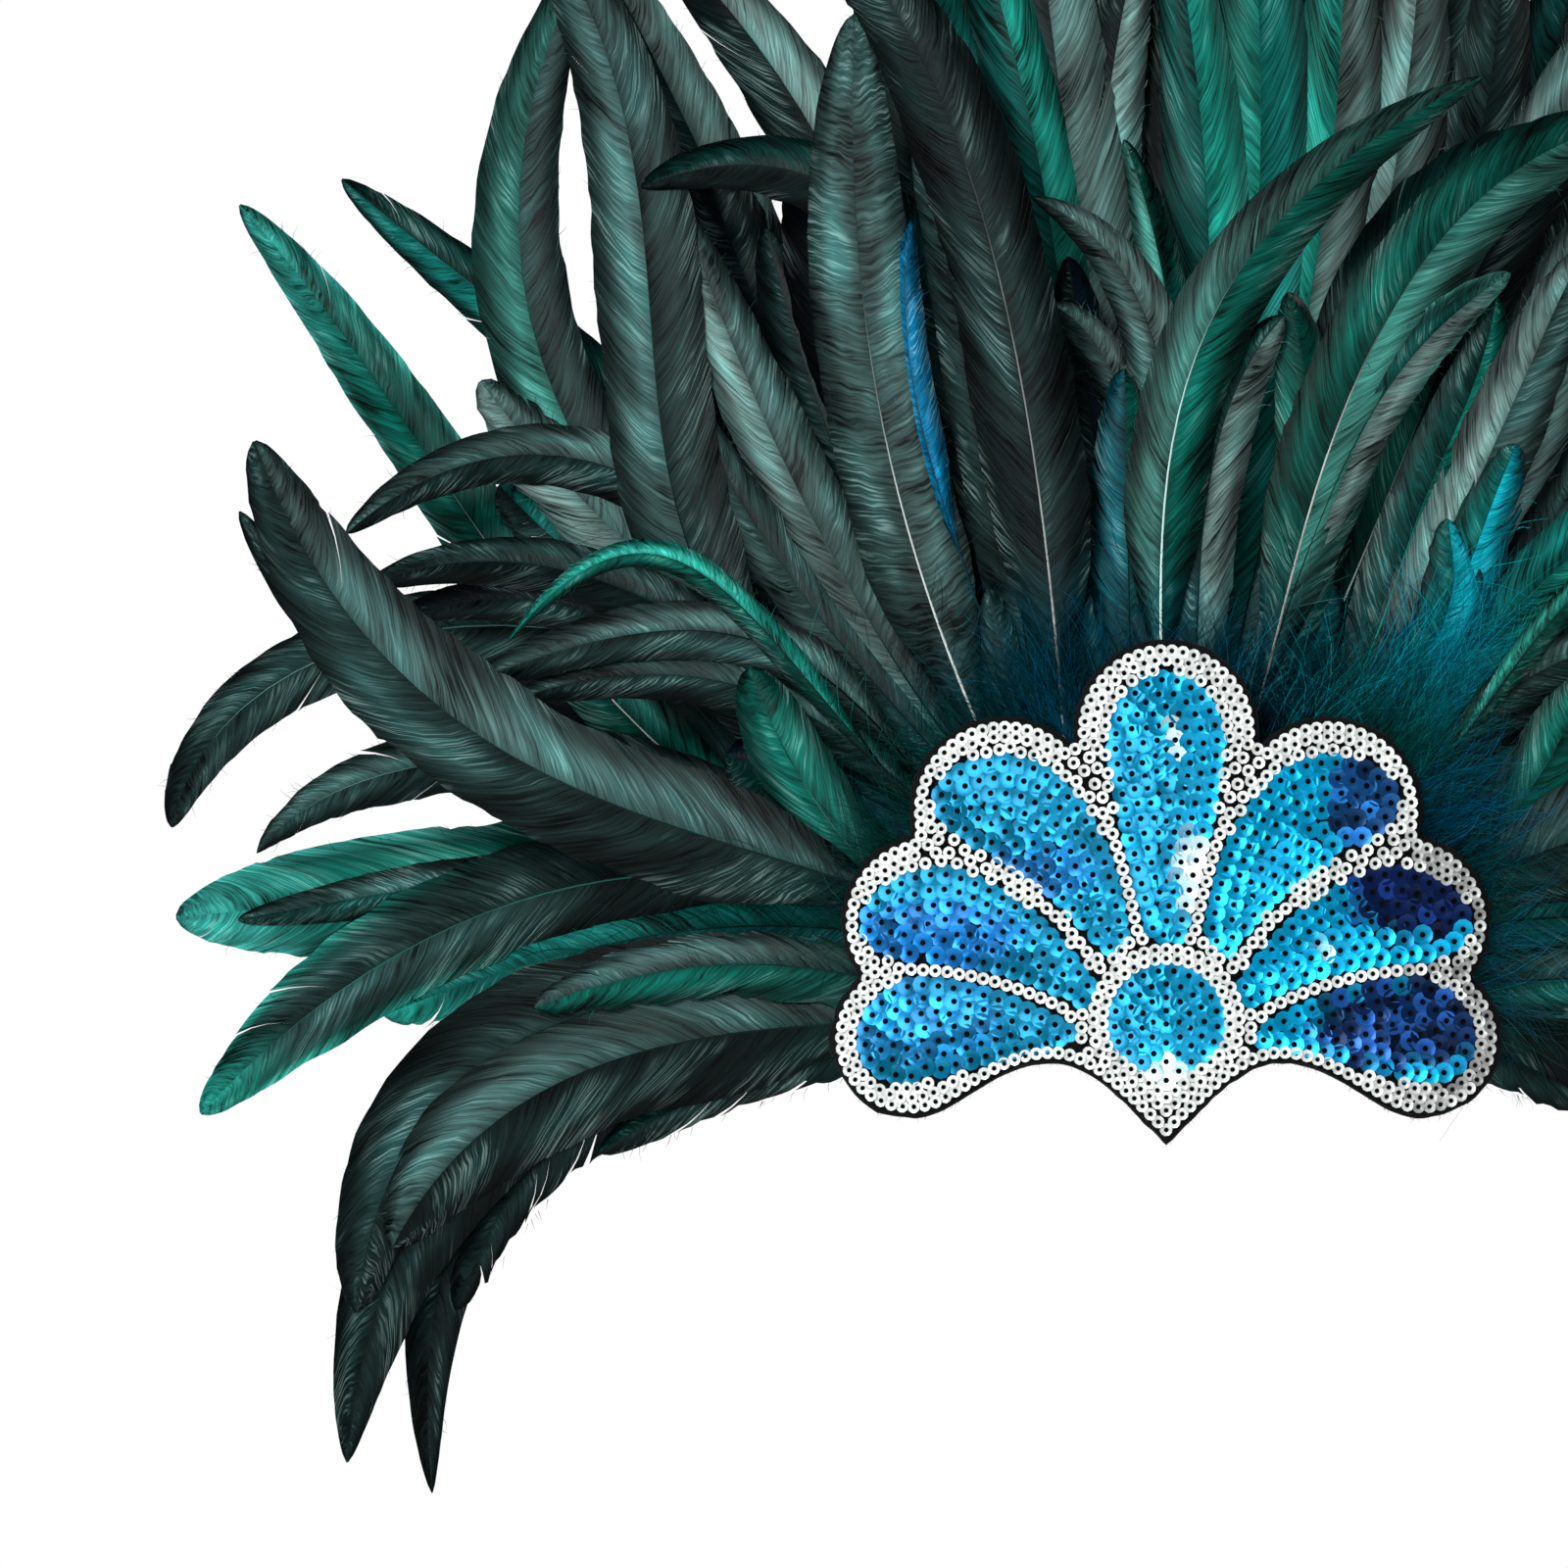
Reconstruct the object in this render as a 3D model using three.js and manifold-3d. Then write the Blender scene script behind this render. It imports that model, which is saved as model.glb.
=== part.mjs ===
// Feather headdress: bunches of rooster tail feathers, each fused to a short sewing tape, stacked in front of a
// head band, with a sequinned palmette on black felt at the brow.
// Millimetres, +Z up. The wearer faces -Y, so the wearer's right is at -X.
// The origin is the middle of the head opening at the band's lower rim.
import * as THREE from "three";
import { mergeVertices } from "three/addons/utils/BufferGeometryUtils.js";
import Module from "manifold-3d";

const wasm = await Module();
wasm.setup();

// Places seen from the front were read off the photo in its pixels: this point of it is x = 0, z = 0
const PHOTO_X = 1190;
const PHOTO_Y = 1070;
const PIXELS_PER_MM = 4.5;

// Head band: an elastic loop round the head
const HEAD_WIDTH = 156;
const HEAD_LENGTH = 196;
const BAND_HEIGHT = 30;
const BAND_THICK = 2;
const BAND_STEPS = 20;

// Stack of bunches: tapes lie one before the other, and the feathers splay back from the front one
const GAP = 0.4;
const TAPE_THICK = 1.5;
const TAPE_PITCH = TAPE_THICK + GAP;
const FRONT_SLAB = 6;
const HUB = { x: 0, z: 22 };
const SPLAY = 0.08;
const SPLAY_START = 25;
const SPLAY_RAMP = 80;
const SUB_SHARE = 0.6;

// Sideways bow of the whole fan round the brow
const BOW_DEPTH = 25;
const BOW_WIDTH = 75;

const BAND_FRONT = -HEAD_LENGTH / 2 - BAND_THICK;
const FAN_FRONT = BAND_FRONT - GAP - TAPE_THICK / 2 - FRONT_SLAB * TAPE_PITCH;

// Feather quills and vanes
const QUILL_WIDTH = 2.4;
const QUILL_THICK = 0.8;
const TIP_THICK = 0.5;
const STATIONS = [0, 0.09, 0.2, 0.36, 0.55, 0.75, 0.92, 1];

// Where a vane starts and reaches its full width, and where and how sharply it narrows to its tip, by cut
const CUTS = {
  coque: { start: 0.1, full: 0.4, taper: 0.6, point: 0.55 },
  hackle: { start: 0.1, full: 0.46, taper: 0.55, point: 0.8 },
  sickle: { start: 0.12, full: 0.4, taper: 0.58, point: 0.7 },
  downy: { start: 0.06, full: 0.32, taper: 0.6, point: 0.5 },
};

// Tapes, as rectangles seen from the front, in mm. Side tapes are given at -X.
const TAPES = {
  crown: { x0: -33, x1: 38, z0: 14, z1: 52 },
  side: { x0: -46, x1: -18, z0: 12, z1: 52 },
  droop: { x0: -46, x1: -18, z0: -2, z1: 16 },
};

// One row per feather, rear feather first, in photo pixels: its root, two places a third and two thirds of the way
// along, its tip, the vane's width, and its cut
const COLUMNS = ["rootX", "rootY", "lowX", "lowY", "highX", "highY", "tipX", "tipY", "width", "cut"];

const CROWN_BACK = [
  [1140, 850, 1090, 560, 1010, 220, 930, -70, 125, "coque"],
  [1160, 850, 1130, 560, 1095, 200, 1050, -140, 120, "coque"],
  [1150, 850, 1120, 560, 1075, 250, 990, -100, 110, "coque"],
  [1260, 850, 1390, 620, 1540, 330, 1650, -60, 125, "coque"],
  [1250, 850, 1350, 600, 1470, 300, 1545, -90, 120, "coque"],
  [1235, 850, 1280, 590, 1345, 270, 1370, -150, 115, "coque"],
  [1215, 850, 1245, 600, 1285, 260, 1272, -165, 125, "coque"],
  [1200, 850, 1215, 600, 1235, 300, 1195, -130, 105, "coque"],
];

const CROWN_MID = [
  [1075, 860, 960, 690, 860, 480, 780, 230, 95, "coque"],
  [1160, 850, 1140, 650, 1120, 460, 1090, 260, 85, "coque"],
  [1260, 850, 1360, 640, 1440, 450, 1500, 300, 95, "coque"],
  [1275, 880, 1420, 690, 1530, 440, 1640, 200, 90, "coque"],
  [1200, 850, 1210, 620, 1200, 370, 1148, 140, 55, "coque"],
  [1190, 850, 1200, 620, 1180, 370, 1055, 195, 66, "sickle"],
];

const CROWN_FRONT = [
  [1165, 850, 1155, 690, 1150, 540, 1150, 375, 90, "downy"],
  [1330, 870, 1450, 720, 1600, 570, 1760, 440, 90, "coque"],
  [1235, 850, 1315, 640, 1335, 450, 1312, 298, 72, "coque"],
  [1300, 880, 1400, 660, 1470, 480, 1525, 300, 80, "coque"],
  [1340, 860, 1430, 720, 1500, 580, 1555, 455, 90, "downy"],
  [1200, 850, 1222, 660, 1240, 470, 1308, 318, 72, "coque"],
  [1240, 850, 1330, 550, 1440, 280, 1690, 120, 108, "coque"],
  [1085, 880, 1040, 600, 990, 320, 925, 90, 75, "coque"],
  [1070, 890, 950, 615, 884, 330, 872, 12, 110, "coque"],
  [1095, 880, 1068, 560, 1005, 190, 850, -90, 112, "coque"],
  [1185, 850, 1185, 560, 1250, 300, 1518, 78, 88, "sickle"],
];

const SIDE_BACK = [
  [1085, 865, 890, 520, 735, 205, 578, -100, 98, "coque"],
  [1095, 850, 995, 520, 854, 175, 640, -95, 112, "coque"],
  [1085, 905, 830, 590, 600, 366, 350, 171, 80, "coque"],
  [1080, 960, 705, 795, 464, 514, 238, 205, 80, "coque"],
  [1030, 955, 720, 800, 436, 776, 258, 868, 80, "hackle"],
  [1040, 930, 700, 670, 354, 655, 171, 844, 80, "coque"],
];

const SIDE_MID = [
  [1055, 865, 770, 668, 546, 358, 600, -60, 98, "coque"],
  [1050, 895, 862, 655, 630, 470, 352, 545, 72, "coque"],
  [1060, 860, 930, 700, 800, 470, 697, 212, 85, "coque"],
  [1050, 885, 720, 600, 655, 270, 542, -110, 118, "coque"],
  [1085, 850, 1030, 560, 915, 250, 652, 186, 92, "coque"],
  [1040, 905, 830, 720, 610, 590, 372, 598, 66, "coque"],
  [1030, 975, 740, 908, 450, 899, 181, 930, 150, "coque"],
  [1020, 985, 800, 945, 590, 970, 390, 1038, 108, "downy"],
  [1020, 965, 700, 890, 430, 962, 202, 1140, 108, "coque"],
];

const SIDE_DROOP = [
  [1000, 1050, 750, 1065, 506, 1170, 431, 1527, 84, "hackle"],
  [1000, 1050, 790, 1072, 606, 1132, 462, 1334, 80, "downy"],
  [1000, 1045, 745, 1050, 490, 1160, 352, 1494, 118, "coque"],
  [1005, 1030, 760, 1010, 508, 1078, 364, 1342, 128, "coque"],
  [1010, 1038, 790, 1050, 570, 1105, 400, 1275, 140, "coque"],
  [1010, 1010, 860, 995, 710, 985, 545, 1030, 80, "downy"],
];

const SIDE_FRONT = [
  [1020, 900, 870, 760, 710, 690, 520, 715, 60, "coque"],
  [1010, 905, 850, 700, 680, 640, 475, 702, 62, "coque"],
  [1000, 880, 830, 700, 690, 572, 517, 657, 34, "sickle"],
  [1000, 960, 900, 900, 815, 790, 765, 680, 88, "coque"],
  [1015, 975, 770, 870, 484, 748, 258, 448, 138, "coque"],
];

// A mirrored feather turns about its root by a few degrees, so the two sides aren't twins
const MIRROR_TURNS = [2, -2.5, 3, -1.5, 2.5, -3, 1];

// Palmette: felt lobes as circles on the +X side, from the low one up, and the top one on the middle line
const LOBES = [
  { x: 58.2, z: 2.2, r: 18 },
  { x: 53.8, z: 28.7, r: 20 },
  { x: 36.7, z: 53.8, r: 21.6 },
  { x: 0, z: 71.6, r: 21.2 },
];
// Lower edge: a point at the nose, and an arch over each brow that runs into the low lobe
const NOSE_Z = -22;
const ARCH = { x: 26, z: -3.4, ease: 9 };
const LOW_EXIT = THREE.MathUtils.degToRad(-120);
const PALMETTE_CENTRE = { x: 0, z: 24 };
const FELT_THICK = 2;
const FELT_RIM = 1.3;
const SEQUIN_THICK = 1.2;
const FELT_RINGS = 3;
const ARC_STEPS = 3;
const PANEL_GAP = 0.3;
const FELT_GAP = 0.75;

// Blue petals on the +X side: inner end, outer end, half-width, half-width of the inner end, sideways bend of the axis
const PETALS = {
  top: { x0: 0, z0: 24.2, x1: 0, z1: 85.4, half: 13.3, foot: 4.4, bend: 0 },
  upper: { x0: 10.9, z0: 22.6, x1: 50.4, z1: 61.8, half: 12.6, foot: 4.2, bend: 7 },
  middle: { x0: 16.9, z0: 11.9, x1: 68.8, z1: 31, half: 11.5, foot: 3.6, bend: 6.2 },
  lower: { x0: 20.4, z0: 2.9, x1: 70, z1: 1.6, half: 12, foot: 2.6, bend: 2.9 },
};
const PETAL_WIDEST = 0.74;
// How much of a petal's widening is rounded: the rest is straight
const PETAL_ROUNDED = 0.4;
const PETAL_STEPS = 5;
const PETAL_RINGS = 2;
// Blue centre drop: a round head with a point below
const DROP = { z: 6, r: 13.4, tipZ: -9.6 };
const DROP_SHOULDER = THREE.MathUtils.degToRad(-28);
const DROP_STEPS = 16;

const FELT_BACK = FAN_FRONT - TAPE_THICK / 2 - GAP;
const FELT_FRONT = FELT_BACK - FELT_THICK;
const SEQUIN_BACK = FELT_FRONT - FELT_GAP;
const SEQUIN_FRONT = SEQUIN_BACK - SEQUIN_THICK;

function material(color, roughness, metalness = 0) {
  return new THREE.MeshStandardMaterial({ color, roughness, metalness });
}

const FINISH = {
  band: material(0x111213, 0.9),
  felt: material(0x0b0b0c, 0.95),
  blueSequin: material(0x0b86d8, 0.25, 0.6),
  whiteSequin: material(0xe9ebe8, 0.35, 0.1),
  crown: material(0x2a4a44, 0.45),
  side: material(0x1f5f54, 0.45),
  droop: material(0x222a29, 0.45),
};

function namedMesh(name, geometry, finish) {
  const mesh = new THREE.Mesh(geometry, finish);
  mesh.name = name;
  return mesh;
}

function toSolid(geometry) {
  const bare = geometry.clone();
  bare.deleteAttribute("normal");
  bare.deleteAttribute("uv");
  const merged = mergeVertices(bare, 1e-4);
  return new wasm.Manifold(
    new wasm.Mesh({
      numProp: 3,
      vertProperties: new Float32Array(merged.attributes.position.array),
      triVerts: new Uint32Array(merged.index.array),
    }),
  );
}

function toGeometry(solid) {
  const { vertProperties, triVerts } = solid.getMesh();
  const geometry = new THREE.BufferGeometry();
  geometry.setAttribute("position", new THREE.BufferAttribute(vertProperties, 3));
  geometry.setIndex(new THREE.BufferAttribute(triVerts, 1));
  geometry.computeVertexNormals();
  return geometry;
}

function indexedGeometry(points, faces) {
  const geometry = new THREE.BufferGeometry();
  geometry.setAttribute("position", new THREE.Float32BufferAttribute(points.flat(), 3));
  geometry.setIndex(faces.flat());
  geometry.computeVertexNormals();
  return geometry;
}

// How far the fan and the palmette bend back at this distance from the middle
function bow(x) {
  return BOW_DEPTH * (Math.hypot(1, x / BOW_WIDTH) - 1);
}

// Depth of a bunch's layer at a place seen from the front. sub runs from 0, its front feather, to SUB_SHARE.
function layerDepth(x, z, slab, sub = 0) {
  const reach = Math.hypot(x - HUB.x, z - HUB.z);
  const past = Math.max(0, reach - SPLAY_START);
  const splay = (SPLAY * past ** 2) / (past + SPLAY_RAMP);
  const behind = FRONT_SLAB - slab;
  return FAN_FRONT + bow(x) + behind * TAPE_PITCH + (behind + sub) * splay;
}

// Half-width of a feather at t along it: a bare quill, then the vane to its tip
function halfWidth(t, { width, cut }) {
  const { start, full, taper, point } = CUTS[cut];
  const quill = (QUILL_WIDTH / 2) * (1 - 0.7 * t);
  const past = Math.max(0, (t - taper) / (1 - taper));
  const vane = (width / 2) * THREE.MathUtils.smoothstep(t, start, full) * (1 - past ** 2.2) ** point;
  return Math.max(quill, vane);
}

// The cubic curve that runs through a feather's four places, evenly along it
function spineThrough([root, low, high, tip]) {
  const handle = (a, b, c, d) =>
    a
      .clone()
      .multiplyScalar(-5)
      .addScaledVector(b, 18)
      .addScaledVector(c, -9)
      .addScaledVector(d, 2)
      .divideScalar(6);
  return new THREE.CubicBezierCurve(root, handle(root, low, high, tip), handle(tip, high, low, root), tip);
}

// A feather: four-cornered sections along its spine, draped on its layer, closed by a point at the tip
function featherGeometry(feather, slab, sub) {
  const spine = spineThrough(feather.places);
  const points = [];
  const faces = [];
  const place = (x, z, forward) => points.push([x, layerDepth(x, z, slab, sub) - forward, z]);
  const last = STATIONS.length - 1;
  STATIONS.slice(0, last).forEach((t) => {
    const at = spine.getPoint(t);
    const along = spine.getTangent(t);
    const half = halfWidth(t, feather);
    const thick = THREE.MathUtils.lerp(QUILL_THICK, TIP_THICK, t) / 2;
    place(at.x - along.y * half, at.y + along.x * half, 0);
    place(at.x, at.y, thick);
    place(at.x + along.y * half, at.y - along.x * half, 0);
    place(at.x, at.y, -thick);
  });
  place(feather.places[3].x, feather.places[3].y, 0);
  for (let i = 0; i < last; i++) {
    for (let k = 0; k < 4; k++) {
      const a = 4 * i + k;
      const b = 4 * i + ((k + 1) % 4);
      if (i === last - 1) faces.push([a, b, 4 * last]);
      else faces.push([a, b, b + 4], [a, b + 4, a + 4]);
    }
  }
  faces.push([0, 3, 2], [0, 2, 1]);
  return indexedGeometry(points, faces);
}

// A tape: a flat strip draped on its bunch's layer
function tapeGeometry(tape, slab) {
  const strip = new THREE.BoxGeometry(tape.x1 - tape.x0, TAPE_THICK, tape.z1 - tape.z0, 5, 1, 2);
  strip.translate((tape.x0 + tape.x1) / 2, 0, (tape.z0 + tape.z1) / 2);
  const place = strip.getAttribute("position");
  for (let i = 0; i < place.count; i++) {
    place.setY(i, place.getY(i) + layerDepth(place.getX(i), place.getZ(i), slab));
  }
  return strip;
}

// A row as a feather in mm, or as its turned twin on the +X side
function featherOf(row, i, onPlusX) {
  const cell = Object.fromEntries(COLUMNS.map((name, k) => [name, row[k]]));
  const side = onPlusX ? -1 : 1;
  const places = ["root", "low", "high", "tip"].map((name) => {
    const x = (cell[`${name}X`] - PHOTO_X) / PIXELS_PER_MM;
    return new THREE.Vector2(side * x, (PHOTO_Y - cell[`${name}Y`]) / PIXELS_PER_MM);
  });
  if (onPlusX) {
    const turn = THREE.MathUtils.degToRad(MIRROR_TURNS[i % MIRROR_TURNS.length]);
    places.forEach((place) => place.rotateAround(places[0].clone(), turn));
  }
  return { places, width: cell.width / PIXELS_PER_MM, cut: cell.cut };
}

// A bunch: its feathers joined to its tape
function bunch(name, slab, tape, rows, finish, onPlusX = false) {
  const turned = onPlusX ? { ...tape, x0: -tape.x1, x1: -tape.x0 } : tape;
  let solid = toSolid(tapeGeometry(turned, slab));
  rows.forEach((row, i) => {
    const sub = SUB_SHARE * (1 - i / (rows.length - 1));
    solid = solid.add(toSolid(featherGeometry(featherOf(row, i, onPlusX), slab, sub)));
  });
  // Vanes that cross can shut in thin pockets of air: the outer skin alone is kept, which fills them
  const skin = solid.decompose().find((body) => body.volume() > 0);
  return namedMesh(name, toGeometry(skin), finish);
}

function headBand() {
  const loop = new THREE.Shape();
  loop.absellipse(0, 0, HEAD_WIDTH / 2 + BAND_THICK, HEAD_LENGTH / 2 + BAND_THICK, 0, 2 * Math.PI);
  const opening = new THREE.Path();
  opening.absellipse(0, 0, HEAD_WIDTH / 2, HEAD_LENGTH / 2, 0, 2 * Math.PI);
  loop.holes.push(opening);
  const extrude = { depth: BAND_HEIGHT, bevelEnabled: false, curveSegments: BAND_STEPS };
  return namedMesh("head_band", new THREE.ExtrudeGeometry(loop, extrude), FINISH.band);
}

// A plate with a star-shaped outline: rings from its centre to the outline, bent round the brow
function bentPlate(outline, centre, rings, front, back) {
  const count = outline.length;
  const points = [];
  const faces = [];
  [front, back].forEach((depth) => {
    points.push([centre.x, depth + bow(centre.x), centre.z]);
    for (let ring = 1; ring <= rings; ring++) {
      outline.forEach((corner) => {
        const x = THREE.MathUtils.lerp(centre.x, corner.x, ring / rings);
        const z = THREE.MathUtils.lerp(centre.z, corner.y, ring / rings);
        points.push([x, depth + bow(x), z]);
      });
    }
  });
  const side = 1 + rings * count;
  const at = (face, ring, i) => face * side + (ring === 0 ? 0 : 1 + (ring - 1) * count + (i % count));
  const skin = (face, a, b, c) => faces.push(face === 0 ? [a, b, c] : [a, c, b]);
  for (let i = 0; i < count; i++) {
    for (let face = 0; face < 2; face++) {
      skin(face, at(face, 0, 0), at(face, 1, i), at(face, 1, i + 1));
      for (let ring = 1; ring < rings; ring++) {
        const [a, b] = [at(face, ring, i), at(face, ring, i + 1)];
        const [c, d] = [at(face, ring + 1, i), at(face, ring + 1, i + 1)];
        skin(face, a, c, d);
        skin(face, a, d, b);
      }
    }
    const [a, b] = [at(0, rings, i), at(0, rings, i + 1)];
    const [c, d] = [at(1, rings, i), at(1, rings, i + 1)];
    faces.push([a, c, d], [a, d, b]);
  }
  return indexedGeometry(points, faces);
}

// Where two neighbouring lobes meet, on the outside of the palmette
function notch(a, b) {
  const apart = Math.hypot(b.x - a.x, b.z - a.z);
  const along = (apart ** 2 + a.r ** 2 - b.r ** 2) / (2 * apart);
  const out = Math.sqrt(a.r ** 2 - along ** 2);
  const [ux, uz] = [(b.x - a.x) / apart, (b.z - a.z) / apart];
  return { x: a.x + along * ux + out * uz, z: a.z + along * uz - out * ux };
}

// The palmette's outline, drawn in by inset, counter-clockwise from the nose as the wearer's front shows it
function palmetteOutline(inset) {
  const noseZ = NOSE_Z + 1.4 * inset;
  const archZ = ARCH.z + inset;
  const low = LOBES[0];
  const exit = new THREE.Vector2(Math.cos(LOW_EXIT), Math.sin(LOW_EXIT)).multiplyScalar(low.r - inset);
  exit.add(new THREE.Vector2(low.x, low.z));
  const heading = new THREE.Vector2(-Math.sin(LOW_EXIT), Math.cos(LOW_EXIT)).multiplyScalar(ARCH.ease);
  const half = new THREE.Path();
  half.moveTo(0, noseZ);
  half.bezierCurveTo(ARCH.ease, noseZ + ARCH.ease, ARCH.x - ARCH.ease, archZ, ARCH.x, archZ);
  half.bezierCurveTo(ARCH.x + ARCH.ease, archZ, exit.x - heading.x, exit.y - heading.y, exit.x, exit.y);
  LOBES.forEach((lobe, i) => {
    const angleTo = (place) => Math.atan2(place.z - lobe.z, place.x - lobe.x);
    const from = i === 0 ? LOW_EXIT : angleTo(notch(LOBES[i - 1], lobe));
    const to = lobe.x === 0 ? Math.PI / 2 : angleTo(notch(lobe, LOBES[i + 1]));
    half.absarc(lobe.x, lobe.z, lobe.r - inset, from, to, false);
  });
  const right = half.getPoints(ARC_STEPS).filter((p, i, all) => i === 0 || p.distanceTo(all[i - 1]) > 0.01);
  const left = right.slice(1, -1).reverse();
  return [...right, ...left.map((p) => new THREE.Vector2(-p.x, p.y))];
}

// A petal's outline, grown by grow: a narrow inner end, widest near the round outer end
function petalOutline(petal, grow) {
  const from = new THREE.Vector2(petal.x0, petal.z0);
  const to = new THREE.Vector2(petal.x1, petal.z1);
  const along = to.clone().sub(from).normalize();
  const across = new THREE.Vector2(-along.y, along.x);
  from.addScaledVector(along, -grow);
  to.addScaledVector(along, grow);
  const rows = [];
  for (let i = 0; i <= PETAL_STEPS; i++) {
    const share = i / PETAL_STEPS;
    const widening = THREE.MathUtils.lerp(share, Math.sin((share * Math.PI) / 2), PETAL_ROUNDED);
    const width = THREE.MathUtils.lerp(petal.foot, petal.half, widening);
    rows.push([share * PETAL_WIDEST, width + grow]);
  }
  for (let i = 1; i < PETAL_STEPS; i++) {
    const turn = ((i / PETAL_STEPS) * Math.PI) / 2;
    rows.push([PETAL_WIDEST + (1 - PETAL_WIDEST) * Math.sin(turn), (petal.half + grow) * Math.cos(turn)]);
  }
  const place = (share, width) => {
    const bend = 4 * share * (1 - share) * petal.bend;
    return from.clone().lerp(to, share).addScaledVector(across, bend + width);
  };
  const near = rows.map(([share, width]) => place(share, -width));
  const far = rows.map(([share, width]) => place(share, width)).reverse();
  return [...near, place(1, 0), ...far];
}

function petalMiddle(petal) {
  const along = new THREE.Vector2(petal.x1 - petal.x0, petal.z1 - petal.z0);
  const lift = petal.bend / along.length();
  return {
    x: (petal.x0 + petal.x1) / 2 - along.y * lift,
    z: (petal.z0 + petal.z1) / 2 + along.x * lift,
  };
}

// The centre drop's outline, grown by grow
function dropOutline(grow) {
  const points = [new THREE.Vector2(0, DROP.tipZ - 1.4 * grow)];
  for (let i = 0; i <= DROP_STEPS; i++) {
    const angle = THREE.MathUtils.lerp(DROP_SHOULDER, Math.PI - DROP_SHOULDER, i / DROP_STEPS);
    const reach = DROP.r + grow;
    points.push(new THREE.Vector2(reach * Math.cos(angle), DROP.z + reach * Math.sin(angle)));
  }
  return points;
}

const flipped = (outline) => outline.map((p) => new THREE.Vector2(-p.x, p.y)).reverse();

// Each blue panel: its name, its outline for a given growth, and its centre
function bluePanels() {
  const panels = [
    { name: "petal_top", outline: (grow) => petalOutline(PETALS.top, grow), centre: petalMiddle(PETALS.top) },
    { name: "centre_drop", outline: dropOutline, centre: { x: 0, z: DROP.z } },
  ];
  ["upper", "middle", "lower"].forEach((row) => {
    const centre = petalMiddle(PETALS[row]);
    const outline = (grow) => petalOutline(PETALS[row], grow);
    panels.push({ name: `petal_${row}_left`, outline, centre });
    const mirror = (grow) => flipped(outline(grow));
    panels.push({ name: `petal_${row}_right`, outline: mirror, centre: { x: -centre.x, z: centre.z } });
  });
  return panels;
}

// White trim: a pierced plate with a hole round each blue panel, bent round the brow
function trimGeometry(panels) {
  const lattice = new THREE.Shape(palmetteOutline(FELT_RIM));
  lattice.holes = panels.map(({ outline }) => new THREE.Path(outline(PANEL_GAP)));
  const plate = new THREE.ExtrudeGeometry(lattice, { depth: SEQUIN_THICK, bevelEnabled: false });
  plate.rotateX(Math.PI / 2);
  const place = plate.getAttribute("position");
  for (let i = 0; i < place.count; i++) {
    place.setY(i, place.getY(i) + SEQUIN_BACK + bow(place.getX(i)));
  }
  return plate;
}

function palmette() {
  const panels = bluePanels();
  const felt = bentPlate(palmetteOutline(0), PALMETTE_CENTRE, FELT_RINGS, FELT_FRONT, FELT_BACK);
  return [
    namedMesh("felt_backing", felt, FINISH.felt),
    namedMesh("sequin_trim", trimGeometry(panels), FINISH.whiteSequin),
    ...panels.map(({ name, outline, centre }) => {
      const panel = bentPlate(outline(0), centre, PETAL_RINGS, SEQUIN_FRONT, SEQUIN_BACK);
      return namedMesh(name, panel, FINISH.blueSequin);
    }),
  ];
}

const headdress = new THREE.Group();
headdress.name = "feather_headdress";
headdress.add(
  headBand(),
  bunch("plume_crown_back", 0, TAPES.crown, CROWN_BACK, FINISH.crown),
  bunch("plume_right_back", 1, TAPES.side, SIDE_BACK, FINISH.side),
  bunch("plume_left_back", 1, TAPES.side, SIDE_BACK, FINISH.side, true),
  bunch("plume_crown_mid", 2, TAPES.crown, CROWN_MID, FINISH.crown),
  bunch("plume_right_mid", 3, TAPES.side, SIDE_MID, FINISH.side),
  bunch("plume_left_mid", 3, TAPES.side, SIDE_MID, FINISH.side, true),
  bunch("plume_crown_front", 4, TAPES.crown, CROWN_FRONT, FINISH.crown),
  bunch("plume_right_droop", 5, TAPES.droop, SIDE_DROOP, FINISH.droop),
  bunch("plume_left_droop", 5, TAPES.droop, SIDE_DROOP, FINISH.droop, true),
  bunch("plume_right_front", 6, TAPES.side, SIDE_FRONT, FINISH.side),
  bunch("plume_left_front", 6, TAPES.side, SIDE_FRONT, FINISH.side, true),
  ...palmette(),
);

export default headdress;
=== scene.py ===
import bpy
import math
import numpy as np
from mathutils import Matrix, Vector


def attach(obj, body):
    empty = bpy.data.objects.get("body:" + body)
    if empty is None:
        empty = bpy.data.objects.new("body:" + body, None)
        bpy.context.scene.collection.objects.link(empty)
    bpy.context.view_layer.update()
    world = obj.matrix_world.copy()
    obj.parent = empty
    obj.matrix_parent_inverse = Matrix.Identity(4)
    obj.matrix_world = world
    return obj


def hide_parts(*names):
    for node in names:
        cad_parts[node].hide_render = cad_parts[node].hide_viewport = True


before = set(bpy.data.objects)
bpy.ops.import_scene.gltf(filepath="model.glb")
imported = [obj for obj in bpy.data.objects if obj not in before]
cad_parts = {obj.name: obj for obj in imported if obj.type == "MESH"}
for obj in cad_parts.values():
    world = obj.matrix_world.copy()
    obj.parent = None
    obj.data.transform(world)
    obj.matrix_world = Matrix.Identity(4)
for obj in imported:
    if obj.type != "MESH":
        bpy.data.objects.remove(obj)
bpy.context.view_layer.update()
mm = 0.001
rng = np.random.default_rng(20)

# The photo's pixels in the object's frame: this pixel is x = 0, z = 0
photo = {"midX": 1190, "midY": 1070, "perMm": 4.5, "side": 1600}


def fromPhoto(px, py):
    return (px - photo["midX"]) / photo["perMm"], (photo["midY"] - py) / photo["perMm"]


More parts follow.
